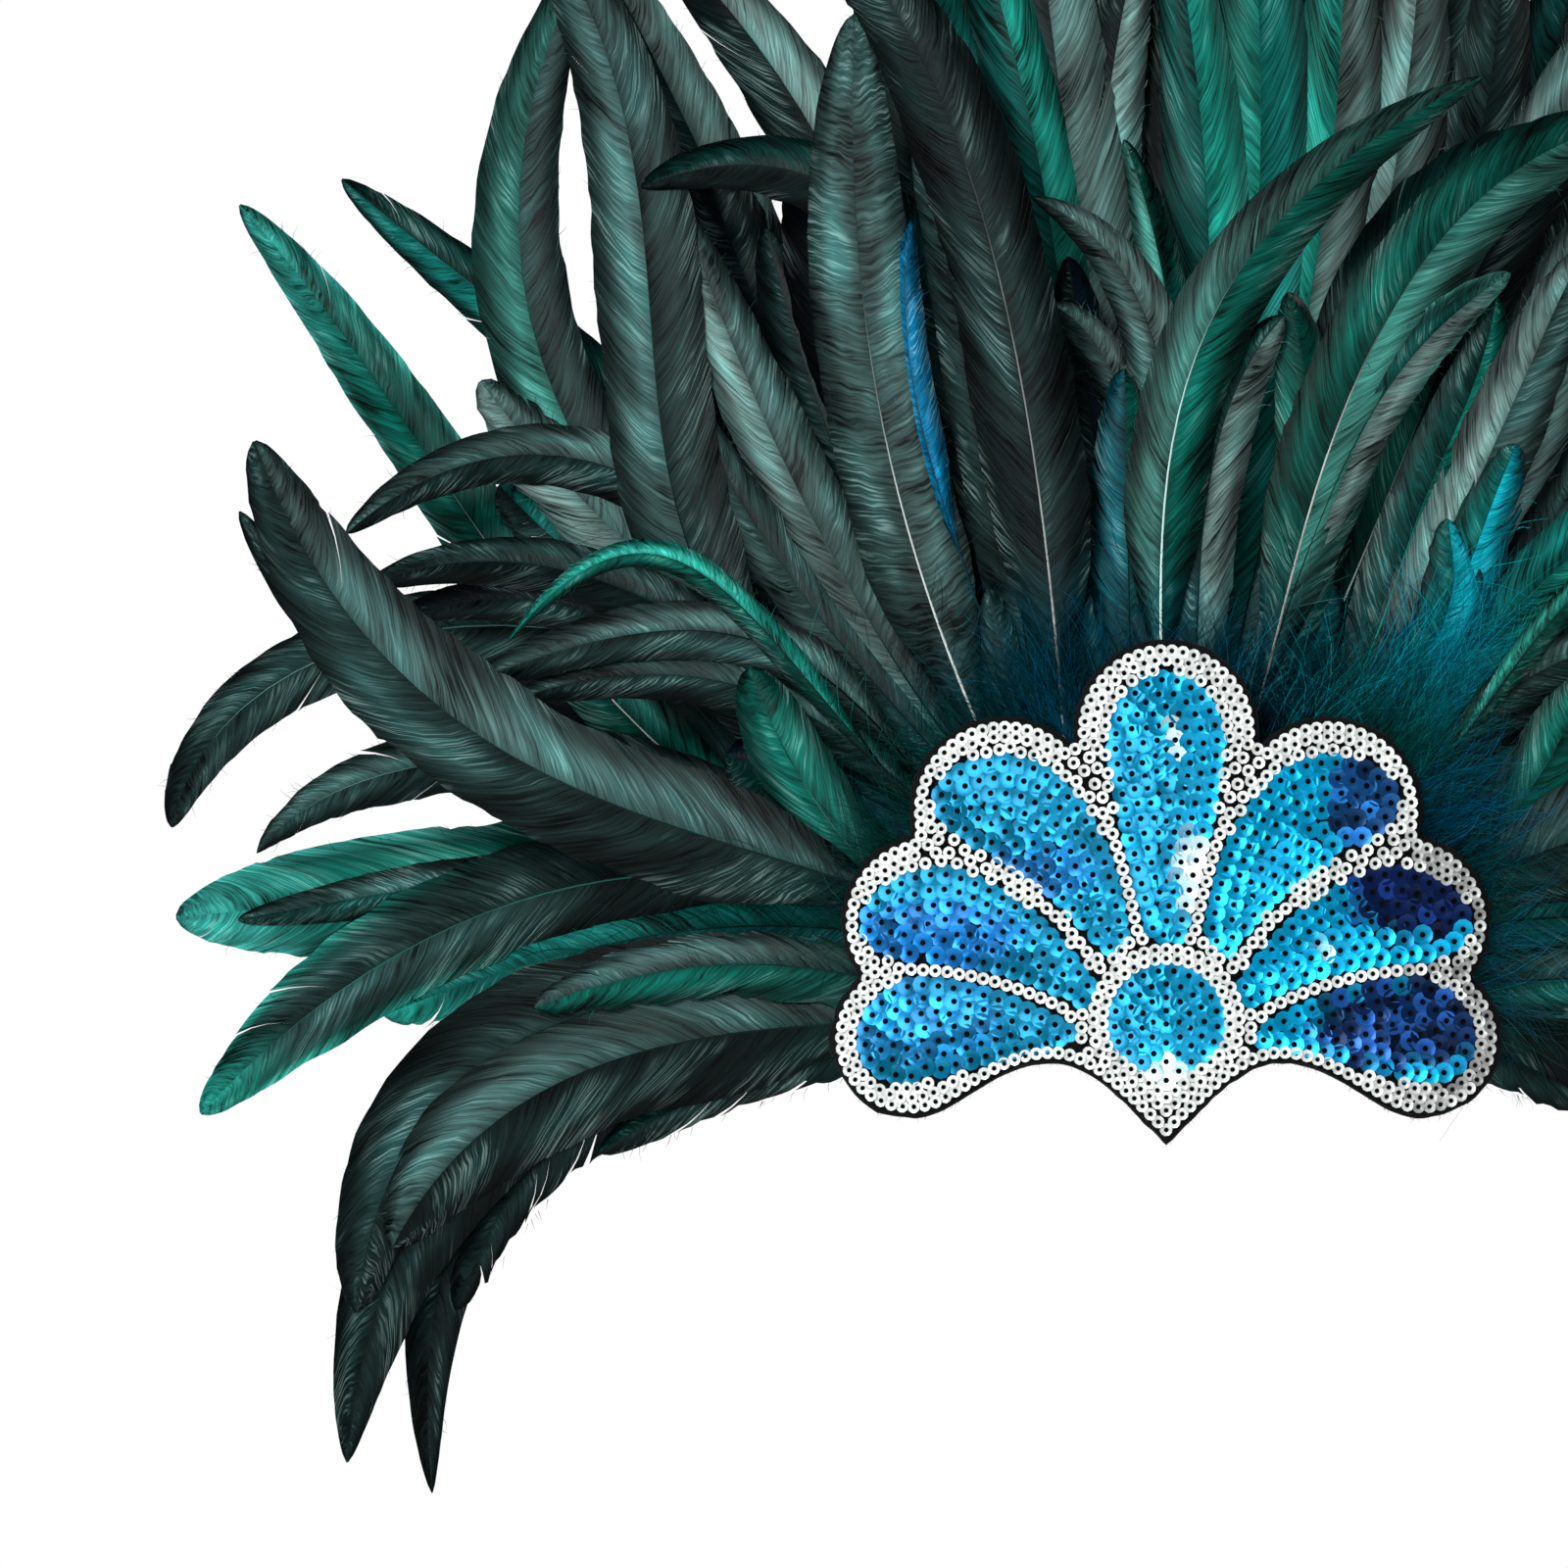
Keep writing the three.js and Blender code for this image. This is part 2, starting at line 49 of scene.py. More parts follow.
# Tints, linear. The silver, grey and pale tints stand partly for sheen painted on a lit vane half, and the
# ink tint for shade painted on the filling feathers in the fan's gaps.
tints = {
    "ink": (0.001, 0.003, 0.005),
    "raven": (0.004, 0.011, 0.011),
    "brown": (0.005, 0.013, 0.013),
    "slate": (0.011, 0.027, 0.026),
    "grey": (0.030, 0.060, 0.057),
    "silver": (0.095, 0.150, 0.140),
    "moss": (0.026, 0.090, 0.076),
    "pale": (0.028, 0.118, 0.098),
    "mint": (0.022, 0.195, 0.166),
    "bright": (0.008, 0.180, 0.140),
    "teal": (0.003, 0.092, 0.080),
    "green": (0.001, 0.062, 0.047),
    "deep": (0.001, 0.026, 0.023),
    "navy": (0.001, 0.010, 0.022),
    "dusk": (0.001, 0.040, 0.052),
    "cyan": (0.003, 0.280, 0.350),
    "blue": (0.001, 0.090, 0.180),
    "white": (0.720, 0.760, 0.740),
    "cotton": (0.008, 0.009, 0.010),
}


def tint(name):
    return np.array(tints[name])


def plainColour(colour, shape):  # one colour for every point, without bars
    return np.tile(np.append(colour, 0), shape + (1,))


def smoothstep(value, low, high):
    share = np.clip((value - low) / (high - low), 0, 1)
    return share * share * (3 - 2 * share)


def wander(count, step):  # a smooth random line from -1 to 1, with a new value every few places
    knots = rng.uniform(-1, 1, int(count / step) + 3)
    return np.interp(np.arange(count) / step, np.arange(len(knots)), knots)


def cubic(knots, t):
    a, b, c, d = knots
    return (1 - t) ** 3 * a + 3 * t * (1 - t) ** 2 * b + 3 * t**2 * (1 - t) * c + t**3 * d


# Shader wiring: sums on sockets are written as Python
class Wire:
    def __init__(self, tree, socket=None):
        self.tree = tree
        self.socket = socket

    def node(self, kind, settings=None, inputs=None, out=0):
        made = self.tree.nodes.new(kind)
        for key, value in (settings or {}).items():
            setattr(made, key, value)
        for key, value in (inputs or {}).items():
            if isinstance(value, Wire):
                self.tree.links.new(value.socket, made.inputs[key])
            else:
                made.inputs[key].default_value = value
        return Wire(self.tree, made.outputs[out])

    def sum(self, operation, *values):
        return self.node("ShaderNodeMath", {"operation": operation}, dict(enumerate(values)))

    def __add__(self, other):
        return self.sum("ADD", self, other)

    def __sub__(self, other):
        return self.sum("SUBTRACT", self, other)

    def __rsub__(self, other):
        return self.sum("SUBTRACT", other, self)

    def __mul__(self, other):
        return self.sum("MULTIPLY", self, other)

    def __pow__(self, other):
        return self.sum("POWER", self, other)

    __radd__ = __add__
    __rmul__ = __mul__

    def sine(self):
        return self.sum("SINE", self)

    def size(self):
        return self.sum("ABSOLUTE", self)

    def clipped(self, low, high):
        return self.sum("MINIMUM", self.sum("MAXIMUM", self, low), high)

    def ramp(self, gain, less):  # a straight rise or fall, held from 0 to 1
        return (self * gain - less).clipped(0, 1)

    def scaled(self, value):  # a colour or vector times a value
        return self.node("ShaderNodeVectorMath", {"operation": "SCALE"}, {0: self, "Scale": value})

    def part(self, index):
        return self.node("ShaderNodeSeparateXYZ", inputs={0: self}, out=index)

    def at(self, x, y, z):
        return self.node("ShaderNodeCombineXYZ", inputs={0: x, 1: y, 2: z})

    def noise(self, where, scale, detail):
        return self.node("ShaderNodeTexNoise", inputs={"Vector": where, "Scale": scale, "Detail": detail})

    def attribute(self, name, out="Vector"):
        return self.node("ShaderNodeAttribute", {"attribute_name": name}, out=out)

    def bump(self, height):
        return self.node("ShaderNodeBump", inputs={"Height": height, "Strength": 1.0, "Distance": mm})


def newMaterial(name, **constants):
    made = bpy.data.materials.new(name)
    made.use_nodes = True
    shader = made.node_tree.nodes["Principled BSDF"]
    for key, value in constants.items():
        shader.inputs[key.replace("_", " ")].default_value = value
    return made, Wire(made.node_tree), shader


def feed(wire, shader, **links):
    for key, value in links.items():
        wire.tree.links.new(value.socket, shader.inputs[key.replace("_", " ")])


# Feather vanes: barbs in the tint painted per point, which holds their colour with painted highlight and
# shade, with fine streaks across, wide zones of tone that are partly painted shade and highlight, painted
# sheen streaks and glints, painted shade in the slits, a satin gloss and a shallow crown.
# A pair of slits, sheen streaks, glints or greener is the gain of a ramp and what is taken off it.
vaneLook = {
    "specular": 0.055,
    "rough": 0.3,
    "roughBands": 0.2,
    "sway": 5,
    "ribPitch": 1.8,
    "ribSway": 5,
    "slits": (16, 10.08),
    "slitEdge": (1.7, 0.3),
    "slitShade": 0.8,
    "slitShadeBarred": 0.6,
    "sheenStreaks": (6, 3),
    "sheenStreakEdge": (5, 0),
    "shine": (0.1, 0.15, 0.14),
    "glints": (-14, -5.04),
    "greener": (4, 1.7),
    "redLoss": 0.4,
    "tones": {"hairs": 2.6, "bands": 1.7, "zones": 3.4, "ribs": 0.14, "glints": 0.6},
    "toneRange": (0.06, 3.0),
    "relief": {"hairs": 0.12, "ribs": 0.06, "slits": 0.25, "crown": 2.2},
    "crownPower": 1.7,
}
# Each noise: how fine along and across the feather, its seed's factor and offset, and its detail
vaneNoise = {
    "sway": (0.11, 1.3, 3, 0, 2),
    "hairs": (1.7, 1.6, 9, 0, 3),
    "bands": (0.6, 1.1, 5, 3, 3),
    "zones": (0.05, 0.9, 7, 1, 2),
    "parting": (0.42, 0.3, 11, 2, 1),
}


def vaneMaterial():
    made, wire, shader = newMaterial("feather_vane", Specular_IOR_Level=vaneLook["specular"])
    barb = wire.attribute("barb")
    across = barb.part(1)
    kind = barb.part(2)
    outward = across.size()
    bars = wire.attribute("tint", "Alpha")

    def streaks(name, along):
        fine, wide, times, plus, detail = vaneNoise[name]
        return wire.noise(wire.at(along * fine, across * wide, kind * times + plus), 1.0, detail)

    along = barb.part(0) + streaks("sway", barb.part(0)) * vaneLook["sway"]
    hairs = streaks("hairs", along)
    bands = streaks("bands", along)
    zones = streaks("zones", along)
    parting = streaks("parting", along)
    ribs = (along * (2 * math.pi / vaneLook["ribPitch"]) + bands * vaneLook["ribSway"]).sine() * bars
    slits = parting.ramp(*vaneLook["slits"]) * outward.ramp(*vaneLook["slitEdge"])
    # Painted sheen: silver streaks where the wide zones and fine barbs are lighter, away from the quill
    sheenStreaks = zones.ramp(*vaneLook["sheenStreaks"]) * hairs.ramp(*vaneLook["sheenStreaks"])
    sheenStreaks = sheenStreaks * outward.ramp(*vaneLook["sheenStreakEdge"])
    # Painted glints along the barbs, added to the tone
    glints = parting.ramp(*vaneLook["glints"])
    tones = vaneLook["tones"]
    # Tone: fine barbs, bands and wide zones at random, the wide zones partly painted shade and highlight
    shade = (hairs - 0.5) * tones["hairs"] + (bands - 0.5) * tones["bands"] + (zones - 0.5) * tones["zones"]
    shade = (shade + ribs * tones["ribs"] + glints * tones["glints"] + 1).clipped(*vaneLook["toneRange"])
    # Painted shade in the slits where the barbs part, less on barred feathers
    shade = shade * (1 - slits * (vaneLook["slitShade"] - bars * vaneLook["slitShadeBarred"]))
    relief = vaneLook["relief"]
    height = hairs * relief["hairs"] + ribs * relief["ribs"] - slits * relief["slits"]
    height = height - outward ** vaneLook["crownPower"] * relief["crown"]
    redness = 1 - zones.ramp(*vaneLook["greener"]) * vaneLook["redLoss"]
    # The silver of the painted sheen streaks, added to the tint with its painted highlight and shade
    shine = wire.at(*[sheenStreaks * share for share in vaneLook["shine"]])
    tintWithPaintedLight = wire.node(
        "ShaderNodeVectorMath",
        {"operation": "MULTIPLY"},
        {0: wire.attribute("tint", "Color"), 1: wire.at(redness, 1.0, 1.0)},
    )
    feed(
        wire,
        shader,
        Base_Color=wire.node("ShaderNodeVectorMath", {"operation": "ADD"}, {0: tintWithPaintedLight.scaled(shade), 1: shine}),
        Roughness=vaneLook["rough"] + bands * vaneLook["roughBands"],
        Normal=wire.bump(height),
    )
    return made


# Cloth: a look's colour is shares of weave, fluff and a plain tone, rough of fluff and plain, relief of weave
# and fluff
def clothMaterial(name, look, weaving, **constants):
    made, wire, shader = newMaterial(name, **constants)
    barb = wire.attribute("barb")
    weave = weaving(wire, barb)
    fluff = wire.noise(barb, *look["fluff"])
    woven, fluffy, plain = look["colour"]
    feed(
        wire,
        shader,
        Base_Color=wire.attribute("tint", "Color").scaled(weave * woven + fluff * fluffy + plain),
        Roughness=fluff * look["rough"][0] + look["rough"][1],
        Normal=wire.bump(weave * look["relief"][0] + fluff * look["relief"][1]),
    )
    return made


tapeLook = {
    "twill": 9,
    "fluff": (1.3, 3),
    "colour": (0.25, 1, 0.5),
    "rough": (0.2, 0.75),
    "relief": (0.08, 0.05),
}


def tapeMaterial():
    twill = lambda wire, barb: ((barb.part(0) + barb.part(1)) * tapeLook["twill"]).sine()
    return clothMaterial("cotton_tape", tapeLook, twill, Sheen_Weight=0.2)


def counted(*sizes):  # all combinations of whole numbers below the sizes, as flat arrays
    return [numbers.ravel() for numbers in np.meshgrid(*map(np.arange, sizes), indexing="ij")]


def quads(i, nextI, k, nextK, ring):  # faces between rings i of points, at the places k round them
    return np.stack([i * ring + k, i * ring + nextK, nextI * ring + nextK, nextI * ring + k], 1)


def mapped(along, nextAlong, around, nextAround):  # the quads' corners in the bake map
    u = np.stack([along, along, nextAlong, nextAlong], 1)
    v = np.stack([around, nextAround, nextAround, around], 1)
    return np.stack([u, v], 2)


def lids(rows, ring, vs, ends):  # the two ends of a flat strip, as quads between its front and its back
    j = np.arange(ring // 2 - 1)
    lid = np.stack([j, ring - 1 - j, ring - 2 - j, j + 1], 1)
    level = np.stack([vs[j], vs[j], vs[j + 1], vs[j + 1]], 1)
    faces = []
    for base, (at, out) in zip((0, (rows - 1) * ring), ends):
        corners = lid + base
        uv = np.stack([np.tile([at, out, out, at], (len(j), 1)), level], 2)
        if base:
            corners, uv = corners[:, ::-1], uv[:, ::-1]
        faces.append((corners, uv))
    return faces


def bodyVolume(points, faces):  # signed, from the middle of the points
    middle = points - points.mean(0)
    total = 0.0
    for corners, _ in faces:
        first = middle[corners[:, 0]]
        for k in range(1, corners.shape[1] - 1):
            total += np.einsum("ij,ij->", first, np.cross(middle[corners[:, k]], middle[corners[:, k + 1]]))
    return total


# The bake map, in shares: a row's margins, a strip's ends and two faces, a tube's length and its round ends
bakeMap = {"margin": 0.06, "lip": 0.04, "front": (0, 0.47), "back": (0.5, 0.97), "tube": (0.1, 0.8)}
bakeEnds = {"at": (0.05, 0.95), "wide": 0.04, "high": 0.4}
tiny = 1e-9


# Gathers strips, tubes and other closed bodies, then makes one mesh of them
class Heap:
    def __init__(self):
        self.points, self.tints, self.barbs = [], [], []
        self.corners, self.sizes, self.uvs, self.slots = [], [], [], []
        self.count = 0
        self.shelf = 0.0  # how much height of the bake map is taken, in mm

    def row(self, height):
        low = self.shelf
        self.shelf += height
        return low + bakeMap["margin"] * height, low + (1 - bakeMap["margin"]) * height

    def add(self, points, colours, barbs, faces, slot=0):  # closed bodies, with their faces turned outward
        if bodyVolume(points, faces) < 0:
            faces = [(corners[:, ::-1], uv[:, ::-1]) for corners, uv in faces]
        self.points.append(points)
        self.tints.append(colours)
        self.barbs.append(barbs)
        for corners, uv in faces:
            self.corners.append((corners + self.count).ravel())
            self.sizes.append(np.full(len(corners), corners.shape[1]))
            self.uvs.append(uv.reshape(-1, 2))
            self.slots.append(np.full(len(corners), slot))
        self.count += len(points)

    def web(self, front, back, colours, barbs, span, slot=0):  # a thin strip, rows along it, columns across
        rows, cols = front.shape[:2]
        ring = 2 * cols
        points = np.concatenate([front, back[:, ::-1]], 1).reshape(-1, 3)
        colours = np.concatenate([colours, colours[:, ::-1]], 1).reshape(-1, 4)
        barbs = np.concatenate([barbs, barbs[:, ::-1]], 1).reshape(-1, 3)
        (u0, u1), (v0, v1) = span
        lip = bakeMap["lip"] * (u1 - u0)
        us = np.linspace(u0 + lip, u1 - lip, rows)
        sheet = [np.linspace(*bakeMap["front"], cols), np.linspace(*bakeMap["back"], cols), [1]]
        vs = v0 + (v1 - v0) * np.concatenate(sheet)
        i, k = counted(rows - 1, ring)
        skin = quads(i, i + 1, k, (k + 1) % ring, ring)
        faces = [(skin, mapped(us[i], us[i + 1], vs[k], vs[k + 1]))]
        faces += lids(rows, ring, vs, ((us[0], u0), (us[-1], u1)))
        self.add(points, colours, barbs, faces, slot)

    def tubes(self, centres, radii, colours, barbs, span, sides=3, slot=0):  # many tubes of one length
        many, steps = centres.shape[:2]
        heading = np.gradient(centres, axis=1)
        across = np.stack([-heading[..., 2], 0 * heading[..., 0], heading[..., 0]], -1) + tiny
        across /= np.linalg.norm(across, axis=-1, keepdims=True)
        rise = np.cross(heading, across)
        rise /= np.linalg.norm(rise, axis=-1, keepdims=True) + tiny
        turn = np.arange(sides) * 2 * math.pi / sides + math.pi / 2
        ring = np.cos(turn)[:, None] * across[:, :, None] + np.sin(turn)[:, None] * rise[:, :, None]
        points = (centres[:, :, None] + radii[..., None, None] * ring).reshape(-1, 3)
        colours = np.repeat(colours.reshape(-1, 4), sides, axis=0)
        barbs = np.repeat(barbs.reshape(-1, 3), sides, axis=0)
        m, i, k = counted(many, steps - 1, sides)
        skin = quads(m * steps + i, m * steps + i + 1, k, (k + 1) % sides, sides)
        (u0, u1), (v0, v1) = span
        cell = (u1 - u0) / many
        start, length = bakeMap["tube"]
        us = u0 + cell * (m + start + length * i / (steps - 1))
        nextUs = us + length * cell / (steps - 1)
        low = v0 + (v1 - v0) * k / sides
        high = v0 + (v1 - v0) * (k + 1) / sides
        faces = [(skin, mapped(us, nextUs, low, high))]
        m, k = counted(many, sides)
        for end, middle in zip((0, steps - 1), bakeEnds["at"]):
            corners = ((m * steps + end) * sides + k).reshape(many, sides)
            u = u0 + cell * (m + middle + bakeEnds["wide"] * np.cos(turn[k]))
            v = v0 + (v1 - v0) * (0.5 + bakeEnds["high"] * np.sin(turn[k]))
            uv = np.stack([u.reshape(many, sides), v.reshape(many, sides)], 2)
            if end == 0:
                corners, uv = corners[:, ::-1], uv[:, ::-1]
            faces.append((corners, uv))
        self.add(points, colours, barbs, faces, slot)

    def build(self, name, materials, sharp=50):
        mesh = bpy.data.meshes.new(name)
        points = np.concatenate(self.points) * mm
        corners = np.concatenate(self.corners)
        sizes = np.concatenate(self.sizes)
        uvs = np.concatenate(self.uvs)
        uvs[:, 1] /= self.shelf
        mesh.vertices.add(len(points))
        mesh.vertices.foreach_set("co", points.astype(np.float32).ravel())
        mesh.loops.add(len(corners))
        mesh.loops.foreach_set("vertex_index", corners.astype(np.int32))
        mesh.polygons.add(len(sizes))
        starts = np.concatenate([[0], np.cumsum(sizes)[:-1]])
        mesh.polygons.foreach_set("loop_start", starts.astype(np.int32))
        mesh.polygons.foreach_set("material_index", np.concatenate(self.slots).astype(np.int32))
        mesh.update(calc_edges=True)
        layer = mesh.uv_layers.new(name="OFBake")
        layer.data.foreach_set("uv", uvs.astype(np.float32).ravel())
        colour = mesh.attributes.new("tint", "FLOAT_COLOR", "POINT")
        colour.data.foreach_set("color", np.concatenate(self.tints).astype(np.float32).ravel())
        barb = mesh.attributes.new("barb", "FLOAT_VECTOR", "POINT")
        barb.data.foreach_set("vector", np.concatenate(self.barbs).astype(np.float32).ravel())
        mesh.set_sharp_from_angle(angle=math.radians(sharp))
        for material in materials:
            mesh.materials.append(material)
        made = bpy.data.objects.new(name, mesh)
        bpy.context.scene.collection.objects.link(made)
        return made


def place(piece, node):
    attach(piece, "root")
    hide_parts(node)


# The fan's layers: flat tapes one before the other, feathers that splay back from the front one
fan = {
    "front": -112.55,
    "pitch": 1.9,
    "frontSlab": 6,
    "hubZ": 22,
    "splay": 0.08,
    "splayStart": 25,
    "splayRamp": 80,
    "share": 0.85,
    "stack": 1.5,
    "tapeLayer": 0.45,
    "bowDepth": 25,
    "bowWidth": 75,
}


def bow(x):
    return fan["bowDepth"] * (np.hypot(1, x / fan["bowWidth"]) - 1)


def reachOf(x, z):
    return np.hypot(x, z - fan["hubZ"])


def layerDepth(x, z, slab, layer):  # layer runs from 0, the bunch's front feather, to 1, its rear one
    past = np.maximum(0, reachOf(x, z) - fan["splayStart"])
    splay = fan["splay"] * past**2 / (past + fan["splayRamp"])
    behind = fan["frontSlab"] - slab
    flat = behind * fan["pitch"] + (layer - fan["tapeLayer"]) * fan["stack"]
    return fan["front"] + bow(x) + flat + (behind + fan["share"] * layer) * splay


# Feathers: where the vane starts, is full, and narrows, how sharp its tip is, and how frayed its barbs are
cutColumns = "start full taper point splits gap jag sweep bars".split()
cutRows = {
    "coque": [0.1, 0.4, 0.6, 0.55, 3, 0.08, 0.07, 1.6, 0.15],
    "barred": [0.1, 0.4, 0.62, 0.55, 1, 0.08, 0.03, 0.35, 1.0],
    "hackle": [0.1, 0.46, 0.55, 0.8, 4, 0.2, 0.1, 1.6, 0.1],
    "sickle": [0.12, 0.4, 0.58, 0.7, 1, 0.08, 0.04, 1.5, 0.25],
    "downy": [0.06, 0.32, 0.6, 0.5, 10, 1.0, 0.2, 1.5, 0.05],
    "tipped": [0.42, 0.66, 0.72, 0.6, 1, 0.2, 0.05, 1.2, 0.1],
}
cuts = {name: dict(zip(cutColumns, row)) for name, row in cutRows.items()}
mirrorTurns = [2, -2.5, 3, -1.5, 2.5, -3, 1]
columns = "rootX rootY lowX lowY highX highY tipX tipY width cut left right rim quill".split()
sway = {"by": 1.1, "turns": (0.8, 1.5), "steps": 60}
seeds = (0, 50)  # each vane, quill and barb has its own pattern


class Spine:  # the cubic curve through a feather's four places, with a slight sway, and its length in mm
    def __init__(self, places):
        self.aside = rng.normal(0, sway["by"])
        self.turns = rng.uniform(*sway["turns"])
        self.phase = rng.uniform(0, 2 * math.pi)
        a, b, c, d = places
        early = (-5 * a + 18 * b - 9 * c + 2 * d) / 6
        late = (2 * a - 9 * b + 18 * c - 5 * d) / 6
        self.knots = np.array([a, early, late, d])
        line = self.at(np.linspace(0, 1, sway["steps"]))
        self.length = np.linalg.norm(np.diff(line, axis=0), axis=1).sum()

    def at(self, t):
        left = self.left(t)
        t = np.asarray(t)[..., None]
        wave = np.sin(2 * math.pi * self.turns * t + self.phase)
        return cubic(self.knots, t) + self.aside * wave * t * left

    def left(self, t):  # the unit vector to the left of the way to the tip
        t = np.asarray(t)[..., None]
        p = self.knots
        way = (1 - t) ** 2 * (p[1] - p[0]) + 2 * t * (1 - t) * (p[2] - p[1]) + t**2 * (p[3] - p[2])
        way /= np.linalg.norm(way, axis=-1, keepdims=True)
        return np.stack([-way[..., 1], way[..., 0]], -1)


def readFeather(row, turn, mirrored):
    cell = dict(zip(columns, row))
    places = np.array([fromPhoto(cell[end + "X"], cell[end + "Y"]) for end in ("root", "low", "high", "tip")])
    if mirrored:
        places[:, 0] *= -1
        angle = math.radians(turn)
        spin = np.array([[math.cos(angle), -math.sin(angle)], [math.sin(angle), math.cos(angle)]])
        places = places[0] + (places - places[0]) @ spin.T
        cell["left"], cell["right"] = cell["right"], cell["left"]
    cell["spine"] = Spine(places)
    cell["halfMm"] = cell["width"] / photo["perMm"] / 2
    return cell


# Vane: steps along and across, thickness and form in mm, and how its barbs sweep, part and lift
vane = {
    "perMm": 0.5,
    "steps": (36, 92),
    "across": 4,
    "rootShare": 0.8,
    "crowding": 1.15,
    "tipShort": 0.0006,
    "tipPower": 2.2,
    "thick": 0.24,
    "edgeThick": 0.1,
    "camber": 0.05,
    "tilt": 0.03,
    "lift": 0.3,
    "lean": (0.7, 1.3),
    "sweepMost": 0.5,
    "sweepPower": 1.25,
    "opening": (0.3, 1.4),
    "openingReach": 3,
    "uneven": 0.03,
    "tones": (0.82, 1.18),
    "bakeHeight": 2.2,
}
split = {"first": 6, "last": 4, "every": 2, "stepsEach": 6}
jagged = {"fine": 0.5, "fineStep": 1.5, "coarse": 0.4, "coarseStep": 8}
# Paint: tones and where they lie on the vane in shares, with a painted highlight on each half and painted
# shade toward its edges, and how far from the hub the root's tint and painted shade fade, in mm
paint = {
    "body": 0.45,
    "wander": 0.12,
    "wanderStep": 9,
    "lit": 1.2,
    "litWidth": 0.3,
    "litLeast": 0.15,
    "paintedLight": {"along": (0.45, 0.85), "across": (0.15, 0.6), "length": (0.14, 0.3), "edge": (0.25, 0.8)},
    "edgeShadeFrom": 0.5,
    "rimAcross": 0.66,
    "rimAlong": (0.5, 0.9),
    "rimTip": 0.85,
    "rimFrom": {"mint": 0.76, "bright": 0.84, "pale": 0.9},
    "root": 0.85,
    "rootToneAndShade": (58, 100),
    "barbsRootToneAndShade": (65, 110),
}


def halfWidth(t, feather):
    cut = cuts[feather["cut"]]
    past = np.clip((t - cut["taper"]) / (1 - cut["taper"]), 0, 1)
    tip = (1 - past ** vane["tipPower"]) ** cut["point"]
    return feather["halfMm"] * smoothstep(t, cut["start"], cut["full"]) * tip


def paintVane(feather, name, root, paintedLight, along, across, reach):  # along and across: shares, of one shape
    # Painted highlight: a soft lit patch on this vane half, placed at random, added to the body tone
    lit = np.exp(-(((along - paintedLight["along"]) / paintedLight["length"]) ** 2))
    lit = paint["litLeast"] + (1 - paint["litLeast"]) * lit
    lit = lit * np.exp(-(((across - paintedLight["across"]) / paint["litWidth"]) ** 2))
    uneven = wander(along.shape[0], paint["wanderStep"])[:, None]
    tone = paint["body"] + paint["wander"] * uneven + paint["lit"] * lit
    # Painted shade toward the vane's edges, where the feathers overlap
    tone = tone * (1 - paintedLight["edge"] * smoothstep(across, paint["edgeShadeFrom"], 1.0))
    colour = tint(name) * tone[..., None]
    rim = feather["rim"]
    if rim:
        share = smoothstep(across, paint["rimAcross"], 1.0) * smoothstep(along, *paint["rimAlong"])
        share = np.maximum(share, paint["rimTip"] * smoothstep(along, paint["rimFrom"][rim], 1.0))
        colour += (tint(rim) - colour) * share[..., None]
    # Near the hub the vane takes the root's tint, partly the feathers' own colour there and partly painted
    # shade
    rootToneAndShade = 1 - smoothstep(reach, *paint["rootToneAndShade"])
    colour += (tint(root) - colour) * rootToneAndShade[..., None] * paint["root"]
    bars = cuts[feather["cut"]]["bars"] * (1 - rootToneAndShade)
    return np.concatenate([colour, bars[..., None]], -1)


